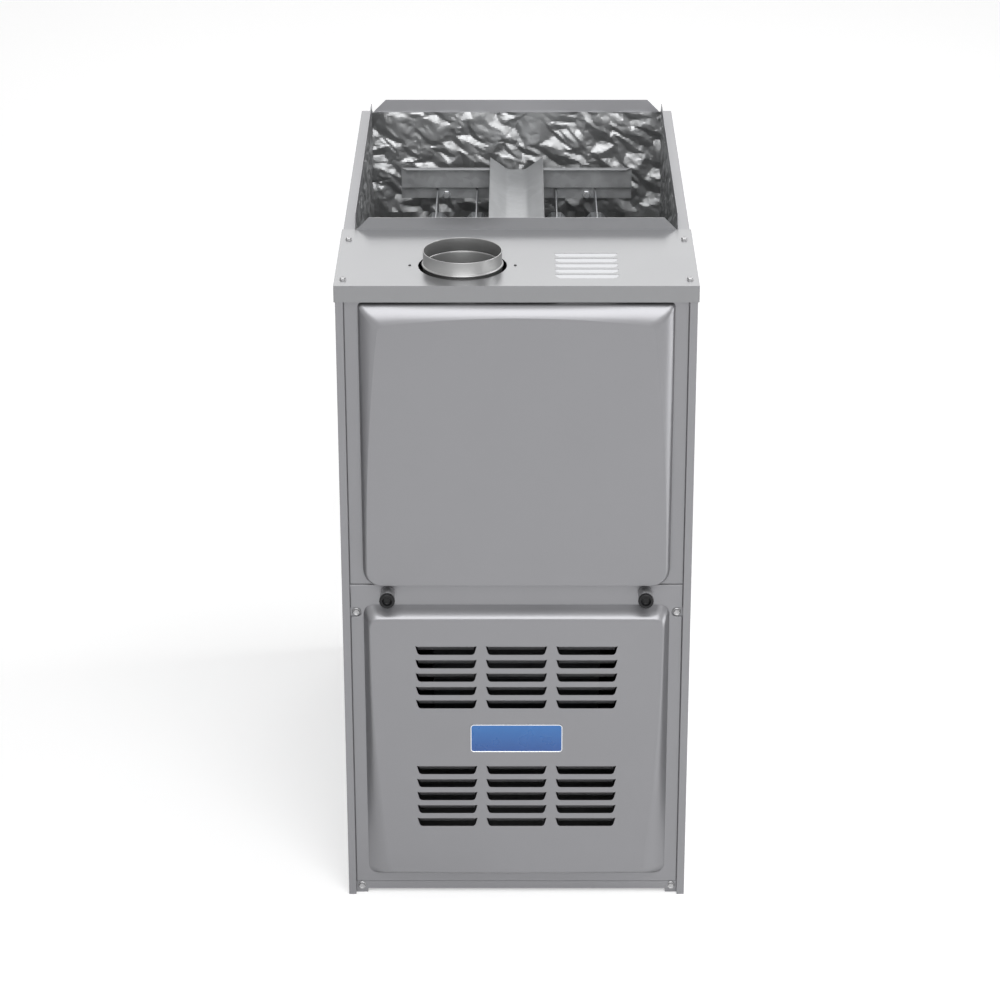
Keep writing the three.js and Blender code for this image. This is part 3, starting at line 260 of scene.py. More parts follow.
def plated(name, colour, roughness=0.32):
    """Zinc plating on a small fastener."""
    plate = Finish(name, colour, roughness, 1.0)
    clouds = plate.noise(500, 3)
    plate.set("Base Color", plate.mix(clouds, shade(colour, 0.82), shade(colour, 1.1)))
    plate.set("Roughness", clouds * 0.2 + (roughness - 0.1))
    return plate.material


# %% [markdown]
# ## Foil
#
# The liner's foil is thin and hard-rolled, so it keeps every crease it has ever had. The
# large creases are modelled. The fine ones come from the distance to the edges of Voronoi
# cells, which is a sharp little valley wherever two cells meet.

# %% Foil
def foil(name, colour):
    skin = Finish(name, colour, 0.4, 0.8)
    warp = skin.node("ShaderNodeTexNoise", {}, Vector=skin.place, Scale=22.0, Detail=2.0)
    push = skin.node("ShaderNodeVectorMath", {"operation": "SCALE"}, warp.outputs["Color"])
    push.inputs["Scale"].default_value = 0.03
    bent = skin.node("ShaderNodeVectorMath", {"operation": "ADD"}, skin.place, push.outputs[0])
    creases = [
        skin.number("ShaderNodeTexVoronoi", {"feature": "DISTANCE_TO_EDGE"},
                    Vector=bent.outputs[0], Scale=scale)
        for scale in (90.0, 210.0)
    ]
    relief = creases[0] * 0.7 + creases[1] * 0.3
    dull = skin.noise(26, 3)
    skin.set("Base Color", skin.mix(dull, shade(colour, 0.8), shade(colour, 1.15)))
    skin.set("Roughness", dull * 0.16 + 0.33)
    skin.bump(relief, 0.8 * MM, 0.4)
    return skin.material


# %% [markdown]
# ## Moulded, cast and coated parts
#
# The small parts are plastic, rubber, cast aluminium, black iron and enamel. Each has a grain
# of its own size: a moulded knob is finely textured, a casting is coarser and mottled, and
# rubber is almost matt.

# %% Grained finishes
def grained(name, colour, roughness, grain, depth, metallic=0.0, mottle=0.12, **constants):
    """A plain colour with a fine relief and a little mottling in tone and gloss."""
    made = Finish(name, colour, roughness, metallic, **constants)
    clouds = made.noise(60, 3)
    made.set("Base Color", made.mix(clouds, shade(colour, 1 - mottle), shade(colour, 1 + mottle)))
    made.set("Roughness", clouds * 0.16 + (roughness - 0.08))
    made.bump(made.noise(1 / grain, 2), depth, 0.6)
    return made.material


def circuit_board_finish(name, colour):
    """Green lacquer over copper tracks that run along the board's two directions."""
    board = Finish(name, colour, 0.35)
    across = board.number("ShaderNodeTexWave", {"bands_direction": "X"},
                          Vector=board.place, Scale=90.0, Distortion=3.0, Detail=2.0)
    up = board.number("ShaderNodeTexWave", {"bands_direction": "Z"},
                      Vector=board.place, Scale=110.0, Distortion=4.0, Detail=2.0)
    tracks = (across * up).above(0.42, 0.06)
    board.set("Base Color", board.mix(tracks, colour, shade(colour, 2.2)))
    board.set("Roughness", tracks * 0.1 + 0.3)
    board.bump(tracks, 0.05 * MM, 0.5)
    return board.material


def enamel(name, low_colour, high_colour, low_z, high_z):
    """Blue enamel that gets paler upwards between two heights."""
    made = Finish(name, high_colour, 0.3, Coat_Weight=0.4, Coat_Roughness=0.12)
    height = made.number("ShaderNodeSeparateXYZ", {}, made.place, output=2)
    share = made.number("ShaderNodeMapRange", {}, height, low_z, high_z, 0.0, 1.0)
    cloud = made.noise(50, 2)
    made.set("Base Color", made.mix(share, low_colour, high_colour))
    made.set("Roughness", cloud * 0.08 + 0.24)
    made.bump(made.noise(1500, 1), 0.01 * MM, 0.4)
    return made.material


# %% [markdown]
# ## One finish for each material slot
#
# The record names the material of every node. The same names key the finishes here, so a
# node that stays as it is gets its look from one short loop. Four more finishes are for the
# back panel, whose coat is painted brighter to stand in for light, the blower's housing, whose
# zinc is painted dark to stand in for shade, the bright nuts and the barrels of the knobs.

# %% Finishes
GREY_PAINT = (0.245, 0.245, 0.256)
TOP_PAINT = (0.247, 0.249, 0.256)
BADGE_LOW, BADGE_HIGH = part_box("badge_plate")

FINISHES = {
    "casing_paint": powder_coat("casing_paint", GREY_PAINT, 0.36),
    "top_paint": powder_coat("top_paint", TOP_PAINT, 0.3),
    "door_paint": powder_coat("door_paint", GREY_PAINT, 0.36),
    # The back panel's coat is the casing's grey made 1.6 times brighter: a painted light on its
    # flange.
    "back_paint_painted_light": powder_coat("back_paint_painted_light", shade(GREY_PAINT, 1.6), 0.45, 0.3),
    "galvanised": galvanised("galvanised", (0.36, 0.367, 0.375)),
    # The blower's housing is zinc painted nearly black: a painted shade behind the louvres.
    "zinc_painted_shade": galvanised("zinc_painted_shade", (0.08, 0.082, 0.085)),
    "bright_zinc": plated("bright_zinc", (0.75, 0.76, 0.77), 0.3),
    "dull_steel": plated("dull_steel", (0.45, 0.45, 0.46), 0.5),
    "aluminised": aluminised("aluminised", (0.42, 0.43, 0.44)),
    "foil_liner": foil("foil_liner", (0.38, 0.385, 0.39)),
    "pipe_steel": rolled_pipe("pipe_steel", (0.34, 0.34, 0.34)),
    "black_plastic": grained("black_plastic", (0.009, 0.009, 0.010), 0.3, 0.4 * MM, 0.008 * MM,
                             Specular_IOR_Level=0.25),
    "badge_blue": enamel("badge_blue", (0.008, 0.067, 0.27), (0.021, 0.142, 0.41),
                         BADGE_LOW.z, BADGE_HIGH.z),
    "badge_silver": plated("badge_silver", (0.72, 0.74, 0.78), 0.25),
    "zinc_screw": plated("zinc_screw", (0.40, 0.40, 0.405), 0.42),
    "black_iron": grained("black_iron", (0.035, 0.035, 0.037), 0.5, 0.8 * MM, 0.06 * MM, 0.6),
    "valve_aluminium": grained("valve_aluminium", (0.45, 0.46, 0.47), 0.42,
                               0.7 * MM, 0.05 * MM, 1.0),
    "motor_black": grained("motor_black", (0.02, 0.02, 0.022), 0.38, 0.5 * MM, 0.03 * MM, 0.2),
    "board_green": circuit_board_finish("board_green", (0.005, 0.035, 0.017)),
    "ceramic": grained("ceramic", (0.70, 0.66, 0.58), 0.75, 0.5 * MM, 0.03 * MM),
    "switch_body": grained("switch_body", (0.02, 0.02, 0.022), 0.5, 0.4 * MM, 0.02 * MM),
    "red_button": grained("red_button", (0.42, 0.02, 0.015), 0.35, 0.4 * MM, 0.01 * MM),
    "hose_rubber": grained("hose_rubber", (0.018, 0.018, 0.02), 0.7, 0.6 * MM, 0.03 * MM),
    "white_nylon": grained("white_nylon", (0.66, 0.66, 0.63), 0.45, 0.4 * MM, 0.01 * MM),
}
SLOT_OF = {row["node"]: row["material_slot"] for row in frame["record"]["subparts"]}
print(len(FINISHES), "finishes for", len(SLOT_OF), "nodes")

# %% [markdown]
# ## Making pieces
#
# A piece is a mesh whose place is in its vertices. These helpers make one from points and
# faces, smooth it, say which body it rides on, and name the nodes it stands for.

# %% Piece helpers
def new_piece(name, points, faces, finish):
    mesh = bpy.data.meshes.new(name)
    mesh.from_pydata([tuple(p) for p in points], [], faces)
    mesh.materials.append(FINISHES[finish])
    made = bpy.data.objects.new(name, mesh)
    bpy.context.scene.collection.objects.link(made)
    return made


def smooth(piece, angle=40.0):
    """Smooth shading, with sharp edges where faces meet at more than the angle."""
    piece.data.shade_smooth()
    piece.data.set_sharp_from_angle(angle=math.radians(angle))
    return piece


def place_on(piece, body, slot, *nodes):
    """The piece rides on the body and stands for the nodes. The slot is not used."""
    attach(piece, body)
    if nodes:
        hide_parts(*nodes)
    return piece


def modifier(piece, kind, **settings):
    made = piece.modifiers.new(kind.title(), kind)
    for key, value in settings.items():
        setattr(made, key, value)
    return made


def outward(piece):
    """Merges doubled points and turns every face outwards."""
    shell = bmesh.new()
    shell.from_mesh(piece.data)
    bmesh.ops.remove_doubles(shell, verts=shell.verts, dist=0.002 * MM)
    bmesh.ops.recalc_face_normals(shell, faces=shell.faces)
    shell.to_mesh(piece.data)
    shell.free()
    return piece


def settled(piece):
    """Turns the piece's modifiers into plain mesh."""
    seen = piece.evaluated_get(bpy.context.evaluated_depsgraph_get())
    mesh = bpy.data.meshes.new_from_object(seen)
    piece.modifiers.clear()
    piece.data = mesh
    return piece


def turned(name, finish, profile, centre, axis="Z", sides=96):
    """A closed profile of (radius, along) turned round an axis through the centre."""
    turn = {"Z": Matrix.Identity(3),
            "Y": Matrix(((1, 0, 0), (0, 0, 1), (0, -1, 0))),
            "X": Matrix(((0, 0, 1), (0, 1, 0), (-1, 0, 0)))}[axis]
    points, faces = [], []
    count = len(profile)
    for i in range(sides):
        angle = 2 * math.pi * i / sides
        for radius, along in profile:
            local = Vector((radius * math.cos(angle), radius * math.sin(angle), along))
            points.append(Vector(centre) + turn @ local)
        start, following = i * count, (i + 1) % sides * count
        for k in range(count):
            m = (k + 1) % count
            faces.append((start + k, following + k, following + m, start + m))
    made = outward(new_piece(name, points, faces, finish))
    return smooth(made)


# %% [markdown]
# ## The pressed doors
#
# Each door is one sheet. A press forms a shallow tray in it: a short steep wall rises from
# the flat rim, leans over into a wide slope and meets the flat face at a soft crease. The
# upper door's tray is narrower at the top and its sides bow. The same outline, with other
# numbers, gives the foot and the crease of both trays, and rings between the two form the
# wall. A curve through a few heights shapes it.

# %% Outline of a pressed tray
CURVE_STEPS = 14


def curve(start, control, end, steps=CURVE_STEPS):
    """Points of a quadratic curve, without its last one."""
    for i in range(steps):
        t = i / steps
        yield start.lerp(control, t).lerp(control.lerp(end, t), t)


def tray_outline(bottom, top, half_low, half_high, bow, corner_low, corner_high,
                 crown=0.0, lean=0.0, sag=0.0):
    """A closed outline in x and z, in millimetres: bowed sides and rounded corners."""
    low_z, high_z = bottom + corner_low, top - corner_high - crown
    middle = (low_z + high_z) / 2
    lid = top - crown
    half_lid = half_high - lean
    knots = [
        (half_low - corner_low, bottom), (half_low, bottom), (half_low, low_z), (bow, middle),
        (half_high, high_z), (half_lid, lid), (half_lid - corner_high, lid), (0, top + crown),
    ]
    mirrored = [(-x, z) for x, z in reversed(knots[:7])]
    ring = [Vector(p) for p in knots + mirrored] + [Vector((0, bottom - sag)), Vector(knots[0])]
    return [point for i in range(0, len(ring) - 1, 2)
            for point in curve(ring[i], ring[i + 1], ring[i + 2])]


FIRST_SLOPE, LAST_SLOPE = 1.3, 0.75     # of the end pieces, against their straight slope


def steadily(knots, at):
    """A smooth rising value through the knots (place, value), without overshoot."""
    places, values = zip(*knots)
    slopes = [(values[i + 1] - values[i]) / (places[i + 1] - places[i])
              for i in range(len(knots) - 1)]
    inner = [2 * a * b / (a + b) for a, b in zip(slopes, slopes[1:])]
    tangents = [slopes[0] * FIRST_SLOPE, *inner, slopes[-1] * LAST_SLOPE]
    i = min(max(sum(at > p for p in places) - 1, 0), len(slopes) - 1)
    width = places[i + 1] - places[i]
    t = (at - places[i]) / width
    return (values[i] * (1 + 2 * t) * (1 - t) ** 2 + tangents[i] * width * t * (1 - t) ** 2
            + values[i + 1] * t * t * (3 - 2 * t) + tangents[i + 1] * width * t * t * (t - 1))


# %% [markdown]
# The flat parts of a door have holes in them: the tray in the rim, and the louvre slots in
# the face. A constrained triangulation fills an outline exactly, and what falls into a hole
# is dropped. The rounded rim, the wall and the face are then one connected sheet, and
# Solidify gives it the thickness of the steel.

# %% Flat sheet with holes
def inside(point, outline):
    x, z = point
    crossings = False
    for (x1, z1), (x2, z2) in zip(outline, outline[1:] + outline[:1]):
        if (z1 > z) != (z2 > z) and x < (x2 - x1) * (z - z1) / (z2 - z1) + x1:
            crossings = not crossings
    return crossings


def filled(outer, holes):
    """Triangles of an outline less its holes, as points and index triples."""
    points, edges = [], []
    for outline in (outer, *holes):
        start, count = len(points), len(outline)
        points += [Vector(p) for p in outline]
        edges += [(start + i, start + (i + 1) % count) for i in range(count)]
    vertices, _, faces, *_ = geometry.delaunay_2d_cdt(points, edges, [], 1, 1e-6)
    kept = []
    for face in faces:
        middle = sum((vertices[i] for i in face), Vector((0, 0))) / len(face)
        if not any(inside(middle, hole) for hole in holes):
            kept.append(face)
    return vertices, kept


class Sheet:
    """Gathers flat areas and rings in the x-z plane, in millimetres, at depths y."""

    def __init__(self):
        self.points = []
        self.faces = []

    def flat(self, outer, holes, y):
        start = len(self.points)
        points, faces = filled(outer, holes)
        self.points += [(p.x, y, p.y) for p in points]
        self.faces += [tuple(start + i for i in face) for face in faces]

    def ring(self, low, low_y, high, high_y):
        """Quads between two outlines of equal count."""
        start, count = len(self.points), len(low)
        self.points += [(p[0], low_y, p[1]) for p in low] + [(p[0], high_y, p[1]) for p in high]
        for i in range(count):
            k = (i + 1) % count
            self.faces.append((start + i, start + k, start + count + k, start + count + i))

    def solid(self, name, finish):
        """The gathered areas as one closed body."""
        points = [(x * MM, FRONT + y * MM, z * MM) for x, y, z in self.points]
        return smooth(outward(new_piece(name, points, self.faces, finish)))

    def piece(self, name, finish, thickness, bevel):
        made = self.solid(name, finish)
        facing = sum((f.normal.y * f.area for f in made.data.polygons), 0.0)
        if facing > 0:
            made.data.flip_normals()
        smooth(made, 50)
        modifier(made, "SOLIDIFY", thickness=thickness, offset=-1.0)
        modifier(made, "BEVEL", width=bevel, segments=2, limit_method="ANGLE",
                 angle_limit=math.radians(50))
        modifier(made, "WEIGHTED_NORMAL", keep_sharp=True)
        return made


# %% Rim and tray of a door
DOOR_HALF = 212.0
RIM_Y, FACE_Y = 4.0, -12.0        # behind the front plane, and in front of it
LEANING_WALL = [(0, 0), (0.1, 0.42), (0.62, 0.86), (1, 1)]
STRAIGHT_WALL = [(0, 0), (0.1, 0.13), (0.74, 0.89), (0.9, 0.98), (1, 1)]
WALL_STEPS = [0, 0.012, 0.03, 0.06, 0.1, 0.16, 0.24, 0.34, 0.45, 0.56, 0.66, 0.74, 0.79, 0.83,
              0.87, 0.91, 0.95, 0.98, 1]
RIM_FOLD = [(1.1, 0.0), (0.75, 0.06), (0.4, 0.22), (0.15, 0.5), (0.0, 1.0), (0.0, 2.0)]


def door_outline(low, high, notch, inset):
    """The door's edge, with a notch open to each side if one is given."""
    half = DOOR_HALF - inset
    right = [(half, low + inset)]
    if notch:
        x, z, radius = notch
        reach = radius + inset
        right.append((half, z - reach))
        right += [(x + reach * math.cos(a), z + reach * math.sin(a))
                  for a in np.linspace(1.5 * math.pi, 0.5 * math.pi, 13)]
        right.append((half, z + reach))
    right.append((half, high - inset))
    return right + [(-x, z) for x, z in reversed(right)]


def ring_outline(x, z, radius, steps=20):
    return [(x + radius * math.cos(2 * math.pi * i / steps),
             z + radius * math.sin(2 * math.pi * i / steps)) for i in range(steps)]


def pressed_door(name, low, high, foot, crease, wall, notch=None, rim_holes=(), slots=()):
    sheet = Sheet()
    edges = [door_outline(low, high, notch, inset) for inset, _ in RIM_FOLD]
    sheet.flat(edges[0], [foot, *rim_holes], RIM_Y)
    for (near, (_, y1)), (far, (_, y2)) in zip(zip(edges, RIM_FOLD), zip(edges[1:], RIM_FOLD[1:])):
        sheet.ring(near, RIM_Y + y1, far, RIM_Y + y2)
    levels = [(across, steadily(wall, across)) for across in WALL_STEPS]
    for (across1, out1), (across2, out2) in zip(levels, levels[1:]):
        sheet.ring([a.lerp(b, across1) for a, b in zip(foot, crease)],
                   RIM_Y + (FACE_Y - RIM_Y) * out1,
                   [a.lerp(b, across2) for a, b in zip(foot, crease)],
                   RIM_Y + (FACE_Y - RIM_Y) * out2)
    sheet.flat(crease, slots, FACE_Y)
    return sheet.piece(name, "door_paint", 0.9 * MM, 0.22 * MM)


# %% The upper door
UPPER_LOW, UPPER_HIGH = (corner.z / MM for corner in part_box("burner_door"))
upper_foot = tray_outline(UPPER_LOW + 1.5, UPPER_HIGH - 1.5, 195, 195, 195, 25, 6)
upper_crease = tray_outline(UPPER_LOW + 5, 818.5, 189, 171, 189, 22, 9, crown=10, lean=1)
upper_door = pressed_door("upper_door", UPPER_LOW, UPPER_HIGH, upper_foot, upper_crease,
                          LEANING_WALL)
place_on(upper_door, "burner_door", "door_paint", "burner_door")
print("upper door", len(upper_door.data.polygons), "faces before its thickness")

# %% [markdown]
# ## The lower door and its louvres
#
# A louvre is cut on three sides and bent inwards along its upper edge, so that rain and
# hands stay out and air goes in. The thirty slots stand in two banks of five rows and three
# columns. They are holes in the face. Their bent tongues all have one shape, so Geometry
# Nodes put one tongue on every point of two grids whose pitches are inputs of the tree.

# %% Slot outlines
SLOT_WIDTH, SLOT_LENGTH, SLOT_TAPER, SLOT_CORNER = 78.6, 12.4, 3.4, 4.0
PITCH_X, PITCH_Z = 90.2, 19.25
ROWS, COLUMNS = 5, 3
BANK_TOPS = (372.6, 199.5)


def slot_outline(x, top):
    """Straight along the fold, tapering to two rounded corners below."""
    half, low = SLOT_WIDTH / 2, SLOT_WIDTH / 2 - SLOT_TAPER
    corner_x = low + SLOT_TAPER * SLOT_CORNER / SLOT_LENGTH
    corner_z = top - SLOT_LENGTH + SLOT_CORNER
    bottom = top - SLOT_LENGTH
    right = [(x + half, top), (x + half - 0.35, top - 1.2)]
    start, end = Vector((x + corner_x, corner_z)), Vector((x + low - SLOT_CORNER, bottom))
    right += [tuple(p) for p in curve(start, Vector((x + low, bottom)), end, 6)] + [tuple(end)]
    return right + [(2 * x - px, pz) for px, pz in reversed(right)]


slot_places = [((column - (COLUMNS - 1) / 2) * PITCH_X, top - row * PITCH_Z)
               for top in BANK_TOPS for row in range(ROWS) for column in range(COLUMNS)]

# %% The lower door
LOWER_LOW, LOWER_HIGH = (corner.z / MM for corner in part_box("blower_door"))
NOTCH = (204.8, 413.2, 6.2)       # x, z and radius of the notch round each upper screw
KNOB_X, KNOB_Z, KNOB_HOLE = 164.0, 441.0, 4.7
lower_foot = tray_outline(30.5, 424, 195.5, 195.5, 195.5, 16, 15)
lower_crease = tray_outline(43, 409.5, 165, 186, 186, 8, 14, crown=0.6, sag=4)
lower_door = pressed_door(
    "lower_door", LOWER_LOW, LOWER_HIGH, lower_foot, lower_crease, STRAIGHT_WALL, NOTCH,
    rim_holes=[ring_outline(side * KNOB_X, KNOB_Z, KNOB_HOLE) for side in (-1, 1)],
    slots=[slot_outline(x, z) for x, z in slot_places])
place_on(lower_door, "blower_door", "door_paint", "blower_door")
print("lower door", len(lower_door.data.polygons), "faces and", len(slot_places), "slots")

# %% [markdown]
# Geometry Nodes trees are built by a small class, as the finishes are: it adds a node from
# its type and settings, links or sets its sockets, and gives the tree named inputs. The
# result is turned into a plain mesh before it becomes a piece.

# %% Geometry Nodes helper
class Arrangement:
    """A Geometry Nodes tree with named inputs, which places copies of a template mesh."""

    def __init__(self, name, inputs):
        self.tree = bpy.data.node_groups.new(name, "GeometryNodeTree")
        self.tree.interface.new_socket("Geometry", in_out="OUTPUT",
                                       socket_type="NodeSocketGeometry")
        self.values = inputs
        self.sockets = {}
        for label, value in inputs.items():
            kind = "NodeSocketInt" if isinstance(value, int) else "NodeSocketFloat"
            socket = self.tree.interface.new_socket(label, in_out="INPUT", socket_type=kind)
            socket.default_value = value
            self.sockets[label] = socket.identifier
        self.group_in = self.tree.nodes.new("NodeGroupInput")

    def value(self, label):
        return self.group_in.outputs[label]

    def node(self, kind, settings=(), **sockets):
        made = self.tree.nodes.new(kind)
        for key, value in dict(settings).items():
            setattr(made, key, value)
        for name, value in sockets.items():
            feed(self.tree, made.inputs[name.replace("_", " ")], value)
        return made

    def maths(self, operation, first, second):
        made = self.node("ShaderNodeMath", {"operation": operation})
        for socket, value in zip(made.inputs, (first, second)):
            feed(self.tree, socket, value)
        return made.outputs[0]

    def template(self, source):
        return self.node("GeometryNodeObjectInfo", Object=source, As_Instance=True)

    def finish(self, name, instances, material, *templates):
        """Realizes the copies and turns the result into a plain piece."""
        real = self.node("GeometryNodeRealizeInstances", Geometry=instances)
        painted = self.node("GeometryNodeSetMaterial", Geometry=real.outputs[0],
                            Material=FINISHES[material])
        group_out = self.tree.nodes.new("NodeGroupOutput")
        self.tree.links.new(painted.outputs[0], group_out.inputs[0])
        made = new_piece(name, [], [], material)
        nodes = modifier(made, "NODES", node_group=self.tree)
        for label, value in self.values.items():
            nodes[self.sockets[label]] = value
        settled(made)
        made.data.materials.clear()
        made.data.materials.append(FINISHES[material])
        for source in templates:
            bpy.data.objects.remove(source)
        print(name, len(made.data.polygons), "faces")
        return made


# %% One louvre tongue
TONGUE_BEND = math.radians(43)
TONGUE_RADIUS, TONGUE_STEPS = 1.6, 6
TONGUE_GAP, TONGUE_SHORT = 0.35, 0.6    # what the cut takes off its sides and its end


def louvre_tongue():
    """A tapered blade that starts in the face and bends inwards, at the origin."""
    path = [(0.0, 0.0)]
    angle = 0.0
    for _ in range(TONGUE_STEPS):
        angle += TONGUE_BEND / TONGUE_STEPS
        step = TONGUE_RADIUS * TONGUE_BEND / TONGUE_STEPS
        y, z = path[-1]
        path.append((y + step * math.sin(angle), z - step * math.cos(angle)))
    rest = SLOT_LENGTH - TONGUE_RADIUS * TONGUE_BEND - TONGUE_SHORT
    start_y, start_z = path[-1]
    for part in (0.5, 1.0):
        path.append((start_y + rest * part * math.sin(angle),
                     start_z - rest * part * math.cos(angle)))
    points, faces = [], []
    for i, (y, z) in enumerate(path):
        half = SLOT_WIDTH / 2 - TONGUE_GAP - SLOT_TAPER * i / (len(path) - 1)
        points += [(-half * MM, y * MM, z * MM), (half * MM, y * MM, z * MM)]
        if i:
            faces.append((2 * i - 2, 2 * i - 1, 2 * i + 1, 2 * i))
    blade = smooth(new_piece("tongue_template", points, faces, "door_paint"), 60)
    modifier(blade, "SOLIDIFY", thickness=0.85 * MM, offset=1.0)
    return settled(blade)


# %% Thirty tongues from two grids
def louvre_bank(tree, template, top):
    """One grid of tongues, whose first row is at the height of that input."""
    wide = tree.maths("MULTIPLY", tree.value("Pitch X"), COLUMNS - 1)
    tall = tree.maths("MULTIPLY", tree.value("Pitch Z"), ROWS - 1)
    grid = tree.node("GeometryNodeMeshGrid", Size_X=wide, Size_Y=tall,
                     Vertices_X=COLUMNS, Vertices_Y=ROWS)
    middle = tree.maths("SUBTRACT", tree.value(top), tree.maths("MULTIPLY", tall, 0.5))
    place = tree.node("ShaderNodeCombineXYZ", X=0.0, Y=tree.value("Depth"), Z=middle)
    upright = tree.node("GeometryNodeTransform", Geometry=grid.outputs[0],
                        Translation=place.outputs[0], Rotation=(math.pi / 2, 0, 0))
    return tree.node("GeometryNodeInstanceOnPoints", Points=upright.outputs[0],
                     Instance=template.outputs["Geometry"]).outputs[0]


tongue = louvre_tongue()
banks = Arrangement("louvre_tongues", {
    "Pitch X": PITCH_X * MM, "Pitch Z": PITCH_Z * MM, "Depth": FRONT + (FACE_Y + 0.02) * MM,
    "Upper top": BANK_TOPS[0] * MM, "Lower top": BANK_TOPS[1] * MM,
})
source = banks.template(tongue)
both = banks.node("GeometryNodeJoinGeometry")
for bank_top in ("Upper top", "Lower top"):
    banks.tree.links.new(louvre_bank(banks, source, bank_top), both.inputs[0])
tongues = banks.finish("louvre_tongues", both.outputs[0], "door_paint", tongue)
place_on(smooth(tongues, 50), "blower_door", "door_paint")

# %% [markdown]
# ## The badge
#
# A small plate sits between the two banks: a blue enamelled field inside a thin silver rim.
# It carries no words or sign. The rim is a closed ring with a rounded section, and the field
# lies a little below it.

# %% The badge
def rounded_rectangle(half_x, half_z, corner, steps=10):
    points = []
    for turn, (sx, sz) in enumerate([(1, 1), (-1, 1), (-1, -1), (1, -1)]):
        for i in range(steps + 1):
            a = (turn + i / steps) * math.pi / 2
            points.append(Vector((sx * (half_x - corner) + corner * math.cos(a),
                                  sz * (half_z - corner) + corner * math.sin(a))))
    return points


BADGE_HALF_X = BADGE_HIGH.x / MM
BADGE_Z = (BADGE_LOW.z + BADGE_HIGH.z) / 2 / MM
BADGE_HALF_Z = (BADGE_HIGH.z - BADGE_LOW.z) / 2 / MM
BADGE_FRONT = (BADGE_LOW.y - FRONT) / MM
BADGE_BACK = (BADGE_HIGH.y - FRONT) / MM


def badge_ring(inset, corner=4.5):
    outline = rounded_rectangle(BADGE_HALF_X - inset, BADGE_HALF_Z - inset, corner - inset)
    return [p + Vector((0, BADGE_Z)) for p in outline]


def badge_rim():
    """The rim's section runs from the back, over its rounded front, to the field."""
    section = [(0.0, BADGE_BACK), (0.0, BADGE_FRONT + 0.35), (0.12, BADGE_FRONT + 0.1),
               (0.4, BADGE_FRONT), (0.95, BADGE_FRONT), (1.2, BADGE_FRONT + 0.1),
               (1.35, BADGE_FRONT + 0.35), (1.35, BADGE_BACK)]
    sheet = Sheet()
    for (inset1, y1), (inset2, y2) in zip(section, section[1:] + section[:1]):
        sheet.ring(badge_ring(inset1), y1, badge_ring(inset2), y2)
    return sheet.solid("badge_rim", "badge_silver")


def badge_field():
    """A thin plate with a slightly domed edge, inside the rim."""
    levels = [(1.35, BADGE_BACK), (1.35, BADGE_FRONT + 0.5), (1.7, BADGE_FRONT + 0.32),
              (2.4, BADGE_FRONT + 0.25)]
    sheet = Sheet()
    for (inset1, y1), (inset2, y2) in zip(levels, levels[1:]):
        sheet.ring(badge_ring(inset1), y1, badge_ring(inset2), y2)
    sheet.flat([tuple(p) for p in badge_ring(2.4)], [], BADGE_FRONT + 0.25)
    sheet.flat([tuple(p) for p in badge_ring(1.35)], [], BADGE_BACK)
    return sheet.solid("badge_field", "badge_blue")


place_on(badge_rim(), "blower_door", "badge_blue", "badge_plate")
place_on(badge_field(), "blower_door", "badge_blue")

# %% [markdown]
# ## The crumpled foil
#
# The warm-air opening is lined with a blanket whose foil face is badly crumpled. Crumpled
# foil is made of hollows with flat sides, which meet in sharp, wandering ridges. A distance
# whose circles are triangles gives just that shape: a three-sided hollow round each of some
# scattered points, and a ridge wherever two meet. The places are first turned and squeezed,
# so that the folds are long and slanting, and pushed about with a slow noise, which bends the
# ridges. A second, finer set of points crumples the hollows. The blanket is flat behind.

# %% Relief of crumpled foil
FOIL_STEP, FOIL_COARSE = 2.3 * MM, 9 * MM
FOIL_SHOWN = 0.15                 # height below the upper edge that the opening shows
FOLDS = [(26 * MM, 6.5 * MM), (10 * MM, 1.5 * MM)]      # size and depth of the hollows
FOIL_BEND, FOIL_BEND_SIZE = 7 * MM, 34 * MM
FOIL_SLANT, FOIL_STRETCH = math.radians(-38), 0.6       # the folds run downwards to the right
FOIL_RISE = 2.6 * MM              # how far ridges stand above the blanket's flat face
FOIL_SLOPE, FOIL_SCATTER = 1.6, 0.55


def scattered(draw, low, high, gap):
    """Points about one gap apart, over a rectangle and a little beyond it."""
    columns, rows = (round(side / gap) for side in high - low)
    return low + gap * np.array([(column + draw.uniform(-FOIL_SCATTER, FOIL_SCATTER),
                                  row + draw.uniform(-FOIL_SCATTER, FOIL_SCATTER))
                                 for row in range(-2, rows + 3)
                                 for column in range(-2, columns + 3)])


def from_centres(places, centres, turns):
    """How far each place is from each centre, by a measure whose circles are triangles."""
    reach = 0
    for third in range(3):
        angles = turns + third * 2 * math.pi / 3
        ways = np.column_stack((np.cos(angles), np.sin(angles)))
        reach = np.maximum(reach, places @ ways.T - (centres * ways).sum(axis=1))
    return reach


def crumpled(places, seed):
    """The depth of the foil below its ridges at each place."""
    draw = random.Random(seed)
    noise.seed_set(seed)
    bends = np.array([tuple(noise.noise_vector((u / FOIL_BEND_SIZE, v / FOIL_BEND_SIZE, seed)))[:2]
                      for u, v in places])
    along = np.array((math.cos(FOIL_SLANT), math.sin(FOIL_SLANT)))
    bent = (places + bends * FOIL_BEND) @ np.array((along * FOIL_STRETCH, (-along[1], along[0]))).T
    depth = np.zeros(len(places))
    for size, deep in FOLDS:
        centres = scattered(draw, bent.min(axis=0), bent.max(axis=0), size)
        lift = np.array([draw.uniform(0, 0.5) for _ in centres])
        turns = np.array([draw.uniform(0, 2 * math.pi) for _ in centres])
        gaps = from_centres(bent, centres, turns) / size
        depth += deep * np.clip(1 - (gaps * FOIL_SLOPE + lift).min(axis=1), 0, 1)
    return depth


def spaced(length, shown, fine, coarse):
    """Places from 0 to the length: coarse at first, and fine over the last stretch."""
    hidden = max(length - shown, 0)
    below = np.linspace(0, hidden, max(round(hidden / coarse), 1) + 1)
    above = np.linspace(hidden, length, round((length - hidden) / fine) + 1)
    return np.unique(np.concatenate((below, above)))


